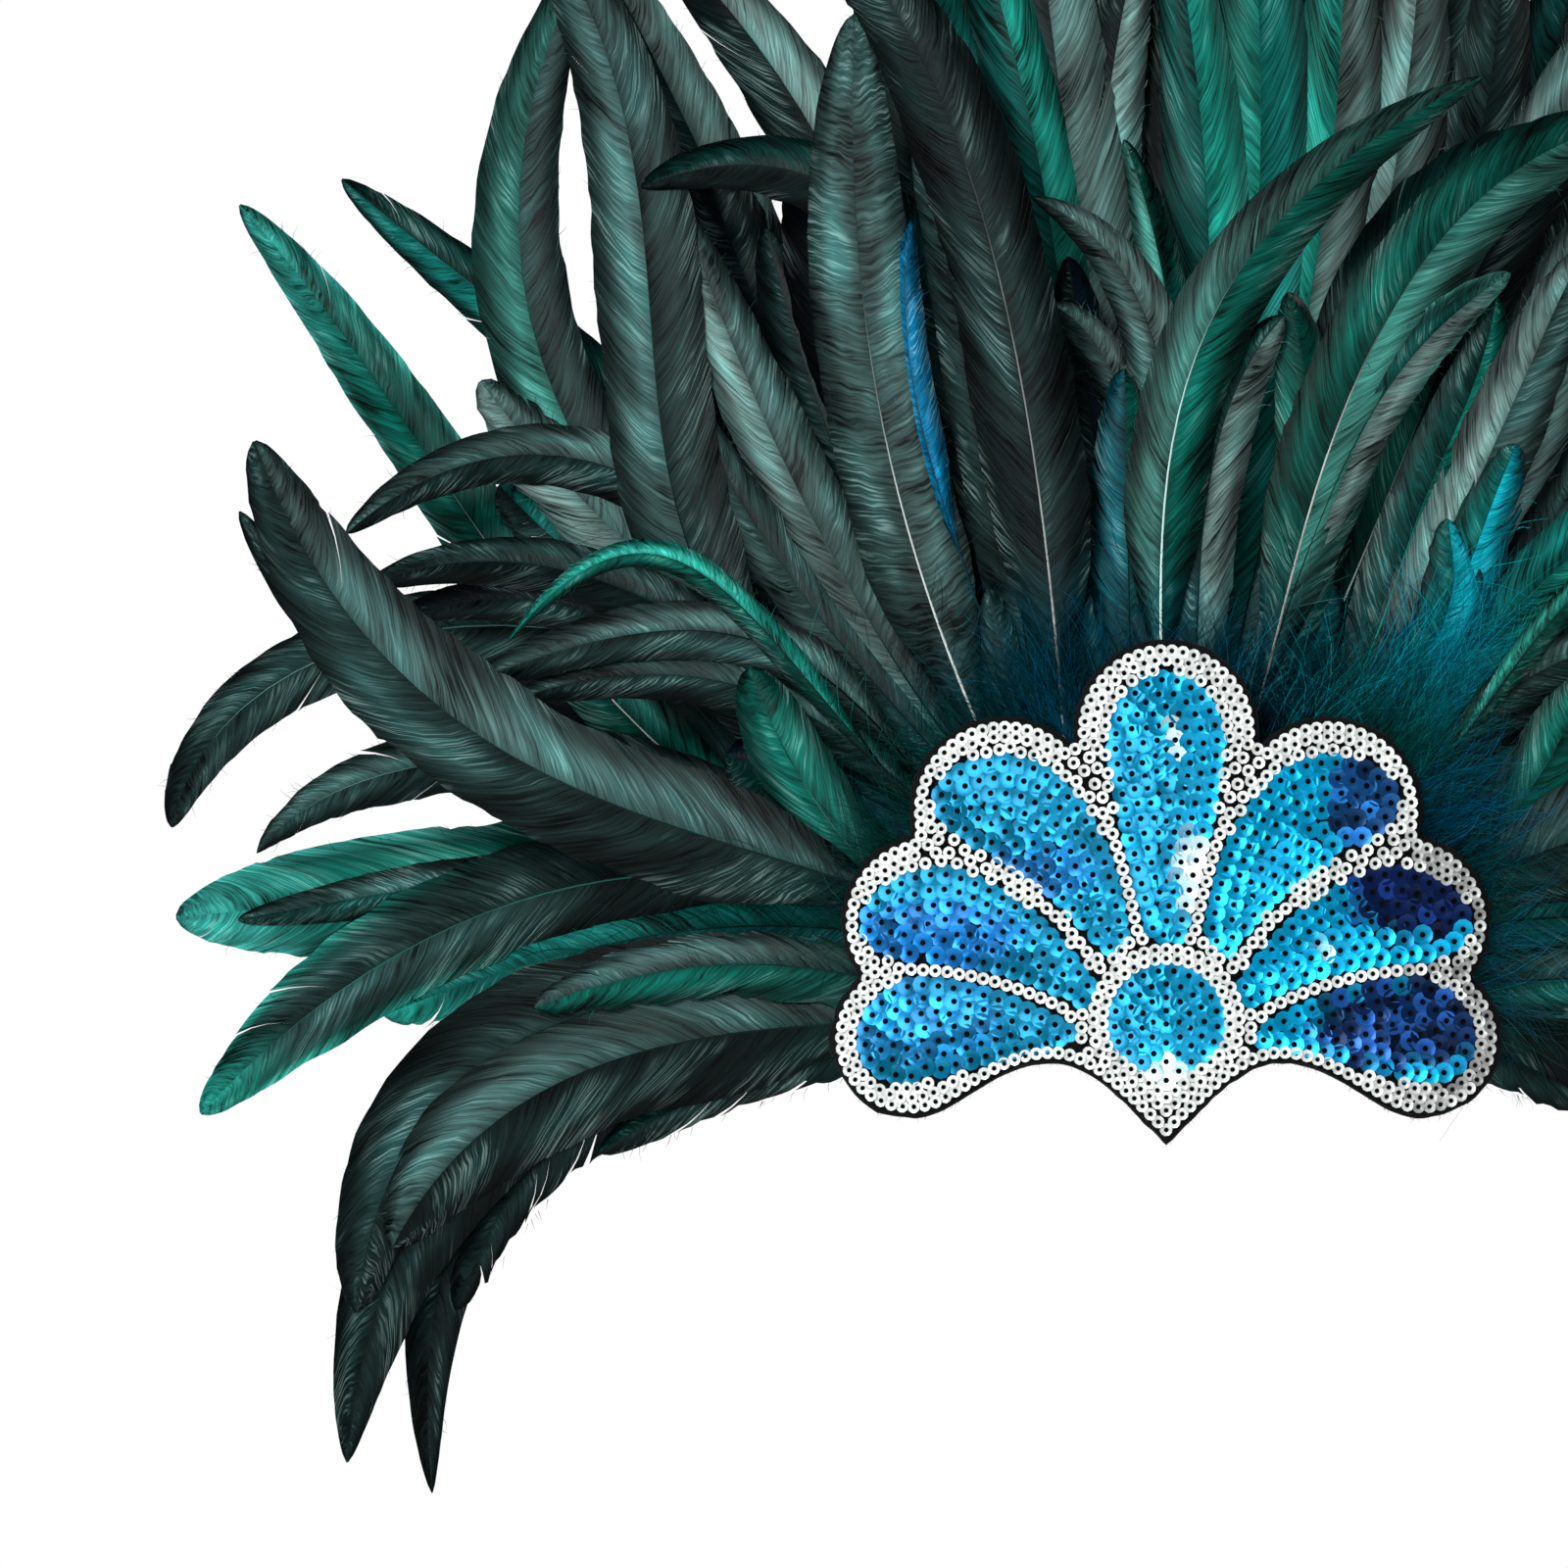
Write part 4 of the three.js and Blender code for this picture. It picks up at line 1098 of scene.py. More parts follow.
def palmetteOutline(inset):
    noseZ = palmette["noseZ"] + palmette["noseLift"] * inset
    archX, archZ, ease = palmette["archX"], palmette["archZ"] + inset, palmette["ease"]
    lobes = palmette["lobes"]
    leave = math.radians(palmette["exit"])
    lowX, lowZ, lowR = lobes[0]
    end = np.array([lowX + (lowR - inset) * math.cos(leave), lowZ + (lowR - inset) * math.sin(leave)])
    heading = ease * np.array([-math.sin(leave), math.cos(leave)])
    parts = [
        bezier((0, noseZ), (ease, noseZ + ease), (archX - ease, archZ), (archX, archZ)),
        bezier((archX, archZ), (archX + ease, archZ), end - heading, end),
    ]
    for i, lobe in enumerate(lobes):
        angleTo = lambda spot: math.atan2(spot[1] - lobe[1], spot[0] - lobe[0])
        start = leave if i == 0 else angleTo(meeting(lobes[i - 1], lobe))
        stop = math.pi / 2 if lobe[0] == 0 else angleTo(meeting(lobe, lobes[i + 1]))
        turn = np.linspace(start, stop, palmette["steps"])[:, None]
        parts.append(np.array(lobe[:2]) + (lobe[2] - inset) * np.hstack([np.cos(turn), np.sin(turn)]))
    half = np.concatenate(parts)
    steps = np.linalg.norm(np.diff(half, axis=0), axis=1)
    half = half[np.append(True, steps > palmette["closest"])]
    return np.concatenate([half, half[-2:0:-1] * [-1, 1]])


def spaced(line, pitch, closed=True):  # even places on a line, about a pitch apart, and its way there
    if closed:
        line = np.concatenate([line, line[:1]])
    run = np.append(0, np.cumsum(np.linalg.norm(np.diff(line, axis=0), axis=1)))
    count = max(1, round(run[-1] / pitch))
    at = np.arange(count) * run[-1] / count if closed else np.linspace(0, run[-1], count + 1)
    places = np.stack([np.interp(at, run, line[:, k]) for k in (0, 1)], 1)
    ahead = np.stack([np.interp((at + lookAhead) % run[-1], run, line[:, k]) for k in (0, 1)], 1)
    way = np.arctan2(ahead[:, 1] - places[:, 1], ahead[:, 0] - places[:, 0])
    return places, way


def inside(spots, outline):
    a, b = outline, np.roll(outline, -1, axis=0)
    x, z = spots[:, 0, None], spots[:, 1, None]
    crosses = (a[:, 1] > z) != (b[:, 1] > z)
    rise = np.where(b[:, 1] == a[:, 1], tiny, b[:, 1] - a[:, 1])
    at = a[:, 0] + (z - a[:, 1]) * (b[:, 0] - a[:, 0]) / rise
    return (crosses & (x < at)).sum(1) % 2 == 1


def clearOf(spots, outline):  # how far each spot is from an outline
    a, b = outline, np.roll(outline, -1, axis=0)
    edge = b - a
    share = np.einsum("ijk,jk->ij", spots[:, None] - a, edge) / np.maximum(tiny, (edge**2).sum(1))
    near = a + np.clip(share, 0, 1)[..., None] * edge
    return np.linalg.norm(spots[:, None] - near, axis=2).min(1)


def fillGaps(kept, allowed, apart):  # adds the most open spot of a fine grid until none is left
    axes = [np.arange(low, high, openGrid["step"]) for low, high in zip(openGrid["from"], openGrid["to"])]
    grid = np.stack(np.meshgrid(*axes, indexing="ij"), -1).reshape(-1, 2)
    grid = grid[allowed(grid)]
    room = np.linalg.norm(grid[:, None] - kept, axis=2).min(1)
    added = []
    while room.max() > apart:
        spot = grid[room.argmax()]
        added.append(spot)
        room = np.minimum(room, np.linalg.norm(grid - spot, axis=1))
    return np.array(added).reshape(-1, 2)


# Felt backing: its front is padded up to the sequins, its edge rolled, with loose fibres round it
felt = {
    "front": -115.7,
    "back": -113.7,
    "centreZ": 24,
    "pitch": 1.0,
    "wobble": 0.006,
    "wobbleStep": 2.2,
    "hub": 0.03,
    "rim": 0.985,
    "pad": 1.0,
    "padTo": 0.955,
    "padAtRim": 0.3,
    "padRings": 5,
    "roll": 0.35,
    "rollTurn": 1.2,
    "rollRings": 5,
    "backRings": 6,
    "dark": 0.4,
    "bakeHeight": 120,
}
fuzz = {
    "many": 600,
    "steps": 4,
    "scatter": 0.7,
    "length": (0.5, 1.5),
    "bend": 0.6,
    "sunk": 0.4,
    "depth": (0.2, 1.8),
    "radius": 0.045,
    "taper": 0.6,
}
feltLook = {
    "clumps": (0.5, 2),
    "fluff": (2.2, 4),
    "colour": (0.8, 1.2, 0),
    "rough": (0.15, 0.8),
    "relief": (0.2, 0.25),
}


def feltMaterial():
    clumps = lambda wire, barb: wire.noise(barb, *feltLook["clumps"])
    return clothMaterial("black_felt", feltLook, clumps, Sheen_Weight=0.02, Specular_IOR_Level=0.08)


def feltRings(thick):  # from the middle of the front to the middle of the back: share out, depth, roll
    pad = -felt["pad"] / thick
    turns = np.linspace(-felt["rollTurn"], felt["rollTurn"], felt["rollRings"])
    rings = [(share, pad, 0.0) for share in np.linspace(felt["hub"], felt["padTo"], felt["padRings"])]
    rings += [(felt["rim"], felt["padAtRim"] * pad, 0.0)]
    rings += [(1.0, 0.5 + 0.5 * math.sin(turn), math.cos(turn) * felt["roll"]) for turn in turns]
    return rings + [(share, 1.0, 0.0) for share in np.linspace(felt["rim"], felt["hub"], felt["backRings"])]


def feltBacking():
    heap = Heap()
    outline, _ = spaced(palmetteOutline(0), felt["pitch"])
    count = len(outline)
    centre = np.array([0, felt["centreZ"]])
    outline = outline + (outline - centre) * felt["wobble"] * wander(count, felt["wobbleStep"])[:, None]
    outward = (outline - centre) / np.linalg.norm(outline - centre, axis=1)[:, None]
    thick = felt["back"] - felt["front"]
    rings = feltRings(thick)
    steps = len(rings)
    grid = []
    for share, depth, roll in rings:
        flat = centre + (outline - centre) * share
        if share == 1:
            flat = flat + outward * (roll - felt["roll"])
        grid.append(np.stack([flat[:, 0], felt["front"] + thick * depth + bow(flat[:, 0]), flat[:, 1]], 1))
    points = np.concatenate(grid)
    i, k = counted(steps - 1, count)
    skin = quads(i, i + 1, k, (k + 1) % count, count)
    v0, v1 = heap.row(felt["bakeHeight"])
    lip = bakeMap["lip"]
    level = lambda n: v0 + (v1 - v0) * (lip + (1 - 2 * lip) * n / (steps - 1))
    faces = [(skin, mapped(level(i), level(i + 1), k / count, (k + 1) / count)[..., ::-1])]
    turn = np.arange(count) * 2 * math.pi / count
    for base, low, high in ((0, v0, level(0)), ((steps - 1) * count, level(steps - 1), v1)):
        corners = base + np.arange(count)[None]
        u = 0.5 + bakeEnds["high"] * np.cos(turn)
        v = (low + high) / 2 + bakeEnds["high"] * (high - low) * np.sin(turn)
        uv = np.stack([u, v], 1)[None]
        if base == 0:
            corners, uv = corners[:, ::-1], uv[:, ::-1]
        faces.append((corners, uv))
    black = tint("cotton") * felt["dark"]
    heap.add(points, plainColour(black, (len(points),)), points, faces)
    # loose fibres round the edge
    many = fuzz["many"]
    pick = rng.integers(0, count, many)
    out = outward[pick]
    way = np.arctan2(out[:, 1], out[:, 0]) + rng.normal(0, fuzz["scatter"], many)
    share = np.linspace(0, 1, fuzz["steps"])
    step = rng.uniform(*fuzz["length"], many)[:, None] * share
    bend = way[:, None] + rng.normal(0, fuzz["bend"], many)[:, None] * share
    root = outline[pick] - fuzz["sunk"] * out
    flat = root[:, None] + step[..., None] * np.stack([np.cos(bend), np.sin(bend)], -1)
    y = felt["front"] + rng.uniform(*fuzz["depth"], many)[:, None] + bow(flat[..., 0])
    fibre = np.stack([flat[..., 0], y, flat[..., 1]], -1)
    radius = fuzz["radius"] * (1 - fuzz["taper"] * share) * np.ones((many, 1))
    heap.tubes(fibre, radius, plainColour(black, fibre.shape[:2]), fibre, ((0, 1), heap.row(3.0)))
    piece = heap.build("black_felt_backing", [feltMaterial()])
    place(piece, "felt_backing")
    print("felt backing", count, "outline points")


feltBacking()

# Blue petals on the +X side: inner end, outer end, half-width, half-width of the inner end, sideways bend
petals = {
    "top": {"x0": 0, "z0": 24.2, "x1": 0, "z1": 85.4, "half": 13.3, "foot": 4.4, "bend": 0},
    "upper": {"x0": 10.9, "z0": 22.6, "x1": 50.4, "z1": 61.8, "half": 12.6, "foot": 4.2, "bend": 7},
    "middle": {"x0": 16.9, "z0": 11.9, "x1": 68.8, "z1": 31, "half": 11.5, "foot": 3.6, "bend": 6.2},
    "lower": {"x0": 20.4, "z0": 2.9, "x1": 70, "z1": 1.6, "half": 12, "foot": 2.6, "bend": 2.9},
}
petalForm = {"widest": 0.74, "rounded": 0.4, "least": 0.05, "steps": 30}
drop = {"z": 6, "r": 13.4, "tipZ": -9.6, "tipGrow": 1.4, "shoulder": -28, "steps": 60}


def petalOutline(petal, grow):
    start = np.array([petal["x0"], petal["z0"]])
    end = np.array([petal["x1"], petal["z1"]])
    along = (end - start) / np.linalg.norm(end - start)
    across = np.array([-along[1], along[0]])
    start, end = start - grow * along, end + grow * along
    foot, half = petal["foot"] + grow, petal["half"] + grow
    widest, rounded = petalForm["widest"], petalForm["rounded"]
    rise = np.linspace(0, 1, petalForm["steps"])
    turn = np.linspace(0, math.pi / 2, petalForm["steps"])[1:]
    share = np.concatenate([rise * widest, widest + (1 - widest) * np.sin(turn)])
    widening = (1 - rounded) * rise + rounded * np.sin(rise * math.pi / 2)
    flank = np.maximum(petalForm["least"], foot + (half - foot) * widening)
    width = np.concatenate([flank, half * np.cos(turn)])[:, None]
    bend = (4 * share * (1 - share) * petal["bend"])[:, None]
    axis = start + share[:, None] * (end - start) + bend * across
    near = axis - width * across
    far = axis + width * across
    return np.concatenate([near, far[-2::-1]])


def dropOutline(grow):
    reach = drop["r"] + grow
    shoulder = math.radians(drop["shoulder"])
    turn = np.linspace(shoulder, math.pi - shoulder, drop["steps"])
    head = np.stack([reach * np.cos(turn), drop["z"] + reach * np.sin(turn)], 1)
    return np.concatenate([[[0, drop["tipZ"] - drop["tipGrow"] * grow]], head])


def flipped(outline):
    return (outline * [-1, 1])[::-1]


panels = {"petal_top": lambda grow: petalOutline(petals["top"], grow), "centre_drop": dropOutline}
for level in ("upper", "middle", "lower"):
    panels[f"petal_{level}_left"] = lambda grow, level=level: petalOutline(petals[level], grow)
    panels[f"petal_{level}_right"] = lambda grow, level=level: flipped(petalOutline(petals[level], grow))

# Sequins, in mm: along and between rows, least distances, the cupped disc, and a tone for each of its rings,
# darker round the hole, on the edge and at the back as painted shade
sequin = {
    "blue": {
        "rows": 5,
        "pitch": 3.45,
        "between": 3.05,
        "apart": 2.9,
        "fill": 2.65,
        "radius": 2.4,
        "hole": 0.68,
        "cup": 0.16,
        "inset": 1.7,
        "insetSlack": 0.9,
        "tilt": 3.5,
        "lift": 0.4,
        "rowDrop": 0.13,
        "stagger": 0.05,
        "tones": (0.8, 1.0, 1.0, 0.5, 0.2),
    },
    "white": {
        "pitch": 2.55,
        "between": 2.1,
        "apart": 2.05,
        "fill": 1.95,
        "radius": 1.46,
        "hole": 0.56,
        "cup": 0.3,
        "tilt": 8,
        "lift": 0.56,
        "stagger": 0.12,
        "shades": (0.8, 1.1),
        "tones": (0.6, 1.0, 0.95, 0.2, 0.1),
    },
    "depth": -117.0,
    "sides": 10,
    "thick": 0.09,
    "fold": (0.62, 0.16),
    "tipping": 0.55,
    "lean": 0.07,
    "sharp": 40,
    "bake": {"perRow": 12, "cell": 4.0, "margin": 0.3},
}
sequinLook = {"flecks": (1.1, 2), "fleckTone": 0.5, "plainTone": 0.75, "rough": 0.16}
# White trim: distances from the edges in mm, and where the painted shade on the sequins at the right
# begins, for sequins turned away from the light
trim = {
    "rim": 2.45,
    "rimRow": 0.1,
    "panel": 0.75,
    "dropRow": 0.3,
    "dropRows": 2,
    "divider": 5.4,
    "dividerPitch": 2.75,
    "dividerStep": 0.5,
    "overlap": 1.1,
    "shaded": 0.75,
    "shadedX": (46, 62),
    "shadedBelow": (44, 56),
}

# Patches of painted reflection and glare: sequins coloured dark or bright as if turned to a dark or a
# bright side, as ellipses in photo pixels
azure = np.array([0.000, 0.255, 0.470])
# Painted reflection: the blue sequins' tone changes across x as their reflection does
reflectionByX = ([-65, -20, 0, 25, 60], [0.64, 0.75, 0.9, 1.55, 1.6])  # share of the tone at these x, in mm
# Painted reflection in a dark patch: single sequins darker or lighter, some as small painted highlights
speckled = [0.35, 0.7, 1.0, 3.2]  # tone of single sequins in a dark patch
evenly = [0.6, 1.0, 1.0, 1.6]
# Painted glare, for sequins that catch the light
glare = (0.700, 0.900, 0.950)
reflectionPatches = [
    {"at": (1400, 815), "size": (46, 62), "colour": (0.008, 0.085, 0.280), "turns": speckled},
    {"at": (1450, 912), "size": (72, 46), "colour": (0.004, 0.020, 0.110), "turns": speckled},
    {"at": (1435, 1046), "size": (96, 46), "colour": (0.005, 0.034, 0.140), "turns": speckled},
    {"at": (950, 955), "size": (95, 38), "colour": (0.006, 0.140, 0.420)},
    {"at": (940, 1045), "size": (80, 40), "colour": (0.007, 0.190, 0.450)},
    {"at": (1060, 890), "size": (60, 26), "colour": (0.006, 0.155, 0.430)},
    {"at": (1218, 905), "size": (15, 52), "colour": glare},
    {"at": (1200, 755), "size": (9, 20), "colour": glare},
    {"at": (1195, 1092), "size": (20, 15), "colour": glare},
    {"at": (1352, 968), "size": (9, 9), "colour": glare},
]
patchForm = {"tones": (0.75, 1.2), "ragged": (-0.12, 0.12), "edge": (0.85, 1.15), "glare": (0.6, 1.0)}


def sequinColours(places):
    many = len(places)
    # The plain blue at random tones, times the painted reflection across x
    colours = azure * rng.uniform(*patchForm["tones"], (many, 1)) * np.interp(places[:, :1], *reflectionByX)
    px = places[:, 0] * photo["perMm"] + photo["midX"]
    py = photo["midY"] - places[:, 1] * photo["perMm"]
    # Painted reflection and glare, patch by patch, blended over the plain blue
    for patch in reflectionPatches:
        away = np.hypot((px - patch["at"][0]) / patch["size"][0], (py - patch["at"][1]) / patch["size"][1])
        share = 1 - smoothstep(away + rng.uniform(*patchForm["ragged"], many), *patchForm["edge"])
        if patch["colour"] == glare:
            share = share * rng.uniform(*patchForm["glare"], many)
        paintedReflection = np.array(patch["colour"]) * rng.choice(patch.get("turns", evenly), (many, 1))
        colours = colours + (np.minimum(paintedReflection, 1) - colours) * share[:, None]
    return colours


def addSequins(heap, kind, places, ways, lifts, colours):  # cupped discs with a hole, each a closed ring
    size = sequin[kind]
    many = len(places)
    foldR, foldUp = sequin["fold"]
    profile = np.array(
        [
            (size["hole"], 0.0),
            (foldR * size["radius"], foldUp * size["cup"]),
            (size["radius"], size["cup"]),
            (size["radius"], size["cup"] - sequin["thick"]),
            (size["hole"], -sequin["thick"]),
        ]
    )
    sides, rings = sequin["sides"], len(profile)
    turn = np.arange(sides) * 2 * math.pi / sides
    reach, rise = profile[:, None, 0], profile[:, None, 1]
    local = np.stack([reach * np.cos(turn), reach * np.sin(turn), np.repeat(rise, sides, 1)], -1)
    bend = places[:, 0] / fan["bowWidth"]
    slope = fan["bowDepth"] / fan["bowWidth"] * bend / np.hypot(1, bend)
    ahead = np.stack([np.cos(ways), 0 * ways, np.sin(ways)], 1)
    out = np.stack([slope, -np.ones(many), np.zeros(many)], 1)
    out += np.radians(size["tilt"]) * rng.normal(0, sequin["tipping"], (many, 3)) * [1, 0, 1]
    out -= ahead * sequin["lean"]
    out /= np.linalg.norm(out, axis=1, keepdims=True)
    first = ahead - (ahead * out).sum(1)[:, None] * out
    first /= np.linalg.norm(first, axis=1, keepdims=True)
    second = np.cross(out, first)
    centre = np.stack([places[:, 0], sequin["depth"] - lifts + bow(places[:, 0]), places[:, 1]], 1)
    basis = np.stack([first, second, out], 1)
    points = (centre[:, None, None] + np.einsum("rsk,mkj->mrsj", local, basis)).reshape(-1, 3)
    m, r, k = counted(many, rings, sides)
    skin = quads(m * rings + r, m * rings + (r + 1) % rings, k, (k + 1) % sides, sides)
    bake, margin = sequin["bake"], bakeMap["margin"]
    cellU = (m % bake["perRow"]) / bake["perRow"]
    cellV = heap.shelf + bake["cell"] * (m // bake["perRow"])
    heap.shelf += bake["cell"] * math.ceil(many / bake["perRow"])
    us = lambda n: cellU + (margin + (1 - 2 * margin) * n / sides) / bake["perRow"]
    vs = lambda n: cellV + bake["margin"] + (bake["cell"] - 2 * bake["margin"]) * n / rings
    faces = [(skin, mapped(vs(r), vs(r + 1), us(k), us(k + 1))[..., ::-1])]
    # Each ring's tone: painted shade round the hole, on the edge and at the back of the disc
    tones = np.array(size["tones"])[:, None, None]
    colours = (colours[:, None, None] * tones).repeat(sides, axis=2).reshape(-1, 3)
    colours = np.concatenate([colours, np.zeros((len(colours), 1))], 1)
    heap.add(points, colours, points, faces)


def sequinMaterial(name, scratch, **constants):
    made, wire, shader = newMaterial(name, **constants)
    flecks = wire.noise(wire.attribute("barb"), *sequinLook["flecks"])
    shade = flecks * sequinLook["fleckTone"] + sequinLook["plainTone"]
    feed(
        wire,
        shader,
        Base_Color=wire.attribute("tint", "Color").scaled(shade),
        Roughness=flecks * scratch + sequinLook["rough"],
    )
    return made


def layRows(lines, size, allowed):  # sequins along each line in turn, where there is room, then in the gaps
    kept, ways, rows = np.zeros((0, 2)), [], []
    for row, (line, closed, good) in enumerate(lines):
        places, way = spaced(line, size["pitch"] if closed else trim["dividerPitch"], closed)
        chosen = good(places)
        for spot, angle in zip(places[chosen], way[chosen]):
            if len(kept) == 0 or np.linalg.norm(kept - spot, axis=1).min() > size["apart"]:
                kept = np.concatenate([kept, [spot]])
                ways.append(angle)
                rows.append(row)
    added = fillGaps(kept, allowed, size["fill"])
    near = [np.linalg.norm(kept - spot, axis=1).argmin() for spot in added]
    ways += [ways[n] for n in near]
    rows += [rows[n] for n in near]
    return np.concatenate([kept, added]), np.array(ways), np.array(rows)


def blueSequins():
    gloss = {"Metallic": 0.6, "Coat_Weight": 0.1, "Coat_Roughness": 0.1, "Specular_IOR_Level": 0.2}
    finish = sequinMaterial("blue_sequin", 0.14, **gloss)
    size = sequin["blue"]
    total = 0
    for name, outline in panels.items():
        rim = outline(0)

        def deep(spots, inset):
            return inside(spots, rim) & (clearOf(spots, rim) > size["insetSlack"] * inset)

        allowed = lambda spots: deep(spots, size["inset"])
        lines = []
        for row in range(size["rows"]):
            inset = size["inset"] + row * size["between"]
            lines.append((outline(-inset), True, lambda spots, inset=inset: deep(spots, inset)))
        places, ways, rows = layRows(lines, size, allowed)
        lifts = size["lift"] - size["rowDrop"] * rows + size["stagger"] * (np.arange(len(rows)) % 2)
        heap = Heap()
        addSequins(heap, "blue", places, ways, lifts, sequinColours(places))
        piece = heap.build("blue_sequins_" + name, [finish], sequin["sharp"])
        place(piece, name)
        total += len(places)
    print("blue sequins", total)


def between(first, second, most):  # the line midway between two outlines, where they are close
    gaps = np.linalg.norm(first[:, None] - second, axis=2)
    close = gaps.min(1) < most
    return (first[close] + second[gaps.argmin(1)[close]]) / 2


def whiteSequins():
    finish = sequinMaterial("white_sequin", 0.2, Metallic=0.05, Coat_Weight=0.3, Coat_Roughness=0.15)
    size = sequin["white"]
    rims = [outline(0) for outline in panels.values()]
    edge = palmetteOutline(0)
    cores = [outline(-trim["overlap"]) for outline in panels.values()]

    def offCores(spots):
        return ~np.any([inside(spots, core) for core in cores], axis=0)

    def allowed(spots):
        good = inside(spots, edge) & (clearOf(spots, edge) > trim["rim"])
        for rim in rims:
            good &= ~inside(spots, rim) & (clearOf(spots, rim) > trim["panel"])
        return good

    rimRow = trim["rim"] + trim["rimRow"]
    dropRow = trim["panel"] + trim["dropRow"]
    lines = [(palmetteOutline(rimRow), True, offCores)]
    for row in range(trim["dropRows"]):
        lines.append((dropOutline(dropRow + row * size["between"]), True, allowed))
    for upper, lower in (("top", "upper"), ("upper", "middle"), ("middle", "lower")):
        first, _ = spaced(petalOutline(petals[upper], 0), trim["dividerStep"])
        line = between(first, petalOutline(petals[lower], 0), trim["divider"])
        line = line[np.argsort(np.hypot(line[:, 0], line[:, 1] - drop["z"]))]
        lines += [(line, False, allowed), (line * [-1, 1], False, allowed)]
    lines.append((palmetteOutline(rimRow + size["between"]), True, allowed))
    places, ways, _ = layRows(lines, size, allowed)
    many = len(places)
    lifts = size["lift"] + size["stagger"] * (np.arange(many) % 2)
    heap = Heap()
    colours = tint("white") * rng.uniform(*size["shades"], (many, 1))
    # Painted shade on the white sequins at the right, at random strengths
    paintedReflection = smoothstep(places[:, 0], *trim["shadedX"]) * (1 - smoothstep(places[:, 1], *trim["shadedBelow"]))
    colours *= 1 - trim["shaded"] * (paintedReflection * rng.uniform(0, 1, many))[:, None]
    addSequins(heap, "white", places, ways, lifts, colours)
    piece = heap.build("white_sequin_trim", [finish], sequin["sharp"])
    place(piece, "sequin_trim")
    print("white sequins", many)


blueSequins()
whiteSequins()

# Head band: a ribbed elastic loop with a lapped, zigzag-sewn join at the back
band = {
    "halfX": 78,
    "halfY": 98,
    "thick": 2,
    "height": 30,
    "levels": 34,
    "ribs": 11,
    "ribDepth": 0.16,
    "steps": 170,
    "lap": 16,
    "lapGap": 0.05,
    "lapOut": 3.2,
    "lapSteps": 12,
    "bakeHeight": 66,
    "bakeMargin": 0.02,
}
zigzag = {"at": 0.7, "steps": 37, "fromEdge": 2, "swing": 0.012, "out": 1.55, "radius": 0.22, "sides": 5}
elasticLook = {
    "weave": 5.2,
    "fluff": (1.2, 3),
    "colour": (0.3, 1, 0.6),
    "rough": (0.2, 0.68),
    "relief": (0.1, 0.06),
}


def elasticMaterial():
    threads = lambda barb, index: (barb.part(index) * elasticLook["weave"]).sine()
    weave = lambda wire, barb: threads(barb, 0) * threads(barb, 1)
    return clothMaterial("black_elastic", elasticLook, weave, Sheen_Weight=0.2)


def onBand(angles, out):  # places on the loop, this far out from the head
    return (band["halfX"] + out) * np.sin(angles), (band["halfY"] + out) * -np.cos(angles)


def bandSkin(heap, angles, inner, outer, closed):
    turns = np.linspace(0, 1, band["levels"])
    ribs = band["ribDepth"] * np.abs(np.sin(turns * math.pi * band["ribs"]))
    level = turns * band["height"]
    out = np.append(outer + ribs, np.full(band["levels"], inner))
    count, ring = len(angles), len(out)
    height = np.tile(np.append(level, level[::-1]), (count, 1))
    x, y = onBand(angles[:, None], out)
    points = np.stack([x, y, height], -1).reshape(-1, 3)
    run = np.append(0, np.cumsum(np.hypot(np.diff(x[:, 0]), np.diff(y[:, 0]))))
    barbs = np.stack([np.repeat(run[:, None], ring, 1), height, 0 * x], -1).reshape(-1, 3)
    last = count if closed else count - 1
    i, k = counted(last, ring)
    skin = quads(i, (i + 1) % count, k, (k + 1) % ring, ring)
    v0, v1 = heap.row(band["bakeHeight"])
    margin = band["bakeMargin"]
    us = margin + (1 - 2 * margin) * np.arange(last + 1) / last
    vs = v0 + (v1 - v0) * np.arange(ring + 1) / ring
    faces = [(skin, mapped(us[i], us[i + 1], vs[k], vs[k + 1]))]
    if not closed:
        faces += lids(count, ring, vs, ((margin, 0), (1 - margin, 1)))
    heap.add(points, plainColour(tint("cotton"), (len(points),)), barbs, faces)


def headBand():
    heap = Heap()
    loop = np.linspace(-math.pi, math.pi, band["steps"], endpoint=False)
    bandSkin(heap, loop, 0, band["thick"] - band["ribDepth"], True)
    lap = band["lap"] / band["halfY"] / 2
    lapped = math.pi + np.linspace(-lap, lap, band["lapSteps"])
    bandSkin(heap, lapped, band["thick"] + band["lapGap"], band["lapOut"], False)
    steps = zigzag["steps"]
    level = np.linspace(zigzag["fromEdge"], band["height"] - zigzag["fromEdge"], steps)
    swing = zigzag["swing"] * np.where(np.arange(steps) % 2, 1, -1)
    for edge in (-zigzag["at"], zigzag["at"]):
        x, y = onBand(math.pi + lap * edge + swing, band["thick"] + zigzag["out"])
        thread = np.stack([x, y, level], -1)[None]
        radius = np.full((1, steps), zigzag["radius"])
        colours = plainColour(tint("slate"), (1, steps))
        heap.tubes(thread, radius, colours, 0 * thread, ((0, 1), heap.row(3.0)), zigzag["sides"])
    piece = heap.build("elastic_head_band", [elasticMaterial()])
    place(piece, "head_band")
    print("head band", len(piece.data.polygons), "faces")


headBand()

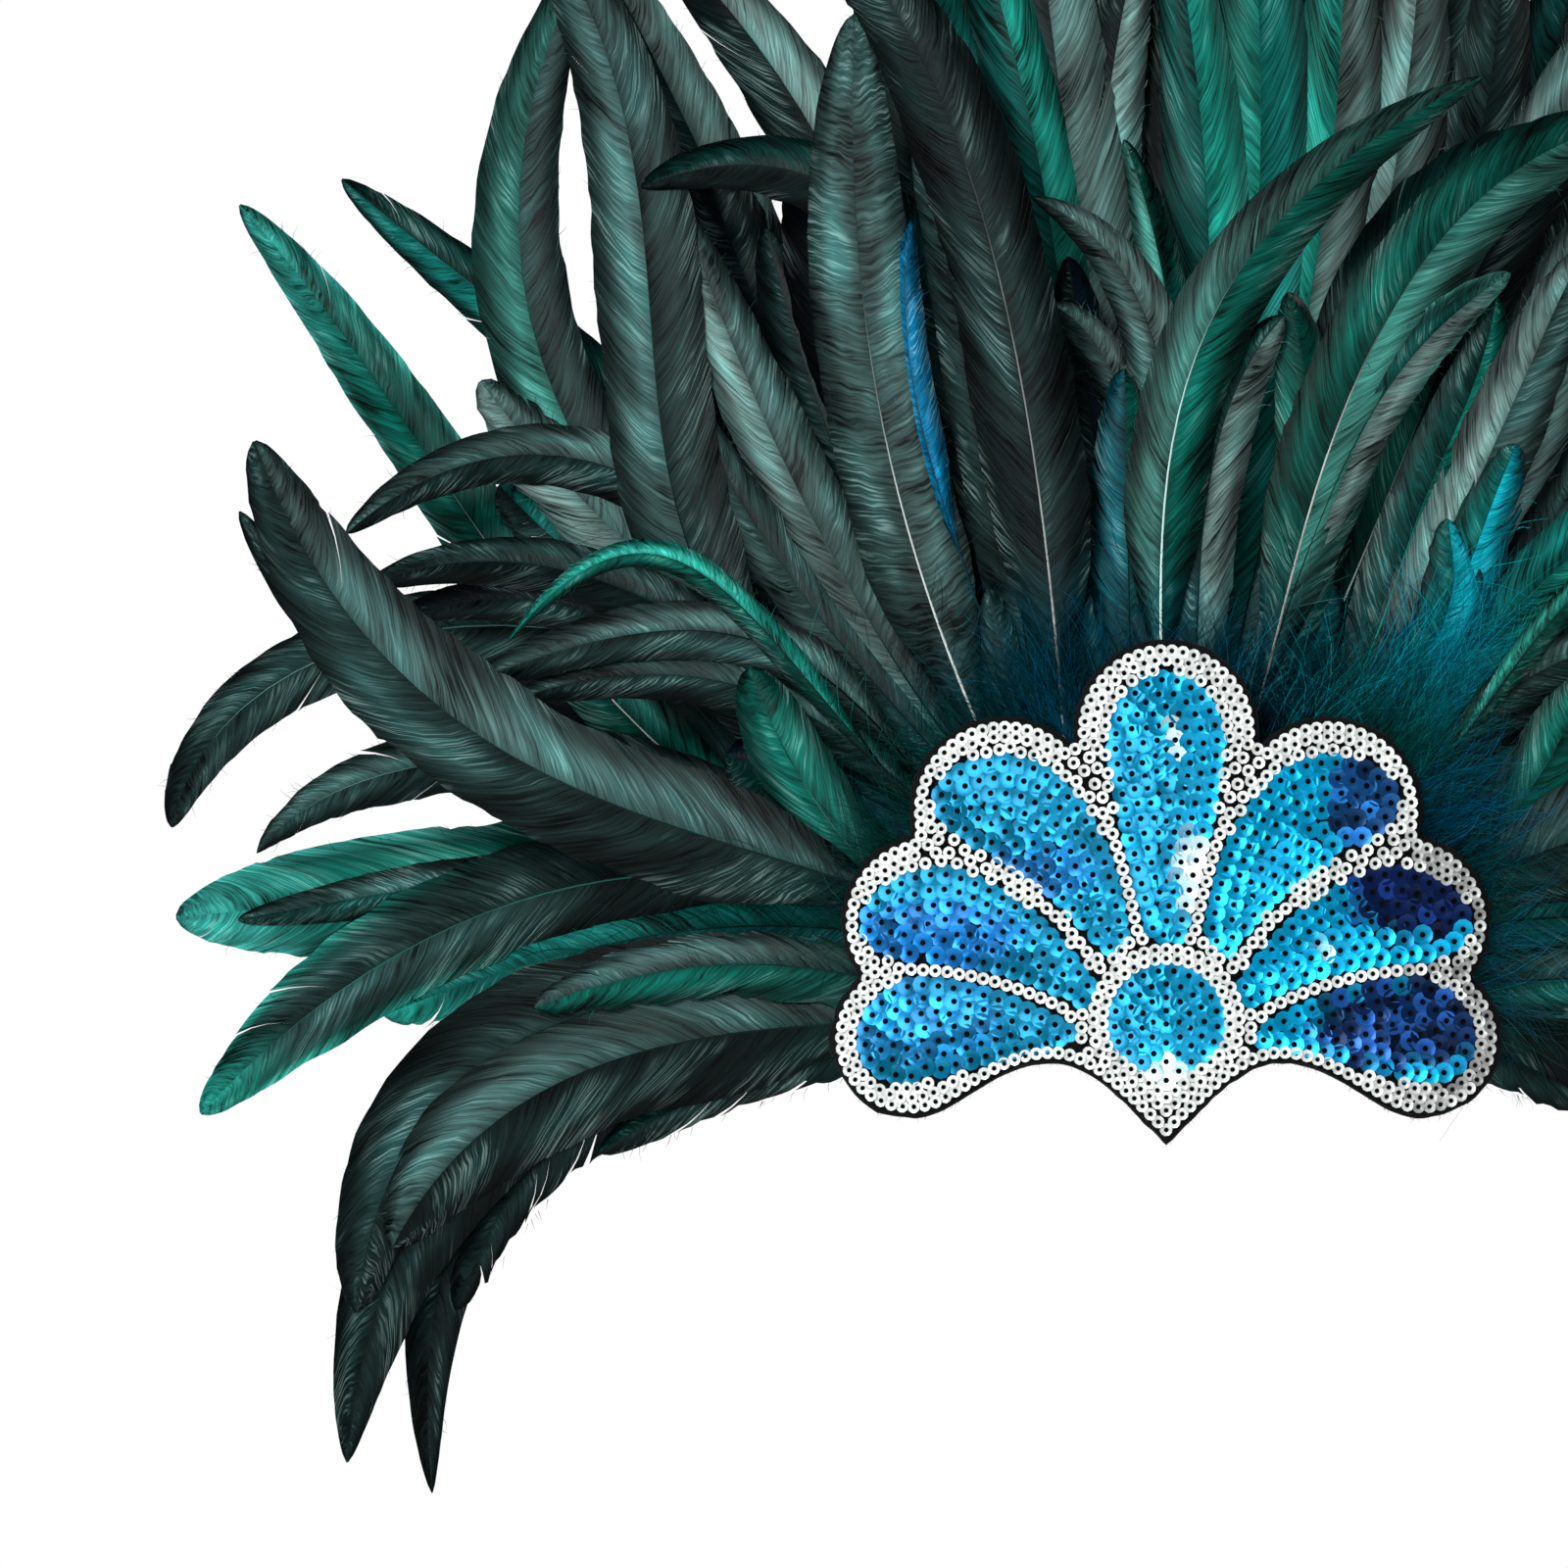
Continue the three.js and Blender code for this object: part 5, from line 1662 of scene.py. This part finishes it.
# Camera: square on to the front, far off, so that the layers behind the palmette keep their size
lens = {"away": 15000, "sensor": 36, "plane": -115.7, "clip": (0.1, 40)}
eyeX, eyeZ = fromPhoto(photo["side"] / 2, photo["side"] / 2)
cameraData = bpy.data.cameras.new("front_camera")
cameraData.sensor_width = lens["sensor"]
cameraData.lens = lens["sensor"] * lens["away"] / (photo["side"] / photo["perMm"])
cameraData.clip_start, cameraData.clip_end = lens["clip"]
camera = bpy.data.objects.new("front_camera", cameraData)
camera.location = Vector((eyeX, lens["plane"] - lens["away"], eyeZ)) * mm
camera.rotation_euler = (math.pi / 2, 0, 0)
bpy.context.scene.collection.objects.link(camera)
bpy.context.scene.camera = camera

# Studio: a white surround, a pale floor far below, soft lights at the upper left and in front, others behind
studio = {
    "surround": 0.16,
    "target": (0, -0.09, 0.06),
    "floorZ": -0.5,
    "floorHalf": 7.0,
    "floorTint": (0.86, 0.86, 0.86, 1),
    "floorRough": 0.8,
}
lamps = {
    "key": {"at": (-1.5, -2.2, 1.9), "size": 1.2, "watts": 85},
    "front": {"at": (-0.4, -3.4, 0.5), "size": 1.6, "watts": 42},
    "rim": {"at": (1.8, 0.9, 1.8), "size": 1.0, "watts": 40},
    "behind": {"at": (-0.6, 2.8, 1.3), "size": 1.6, "watts": 70},
}


def studioLight():
    scene = bpy.context.scene
    scene.view_settings.view_transform = "Standard"
    world = bpy.data.worlds.new("white_surround")
    world.use_nodes = True
    scene.world = world
    wire = Wire(world.node_tree)
    seen = wire.node("ShaderNodeLightPath", out="Is Camera Ray")
    background = world.node_tree.nodes["Background"]
    background.inputs["Color"].default_value = (1, 1, 1, 1)
    feed(wire, background, Strength=seen * (1 - studio["surround"]) + studio["surround"])
    for name, lamp in lamps.items():
        data = bpy.data.lights.new(name, "AREA")
        data.shape = "DISK"
        data.size = lamp["size"]
        data.energy = lamp["watts"]
        made = bpy.data.objects.new(name, data)
        made.location = lamp["at"]
        toward = Vector(studio["target"]) - made.location
        made.rotation_euler = toward.to_track_quat("-Z", "Y").to_euler()
        made.visible_camera = False
        scene.collection.objects.link(made)
    half, z = studio["floorHalf"], studio["floorZ"]
    corners = [(-half, -half, z), (half, -half, z), (half, half, z), (-half, half, z)]
    mesh = bpy.data.meshes.new("pale_floor")
    mesh.from_pydata(corners, [], [(0, 1, 2, 3)])
    floor = bpy.data.objects.new("pale_floor", mesh)
    finish, _, _ = newMaterial("floor_paint", Base_Color=studio["floorTint"], Roughness=studio["floorRough"])
    mesh.materials.append(finish)
    scene.collection.objects.link(floor)


studioLight()
print("studio ready")
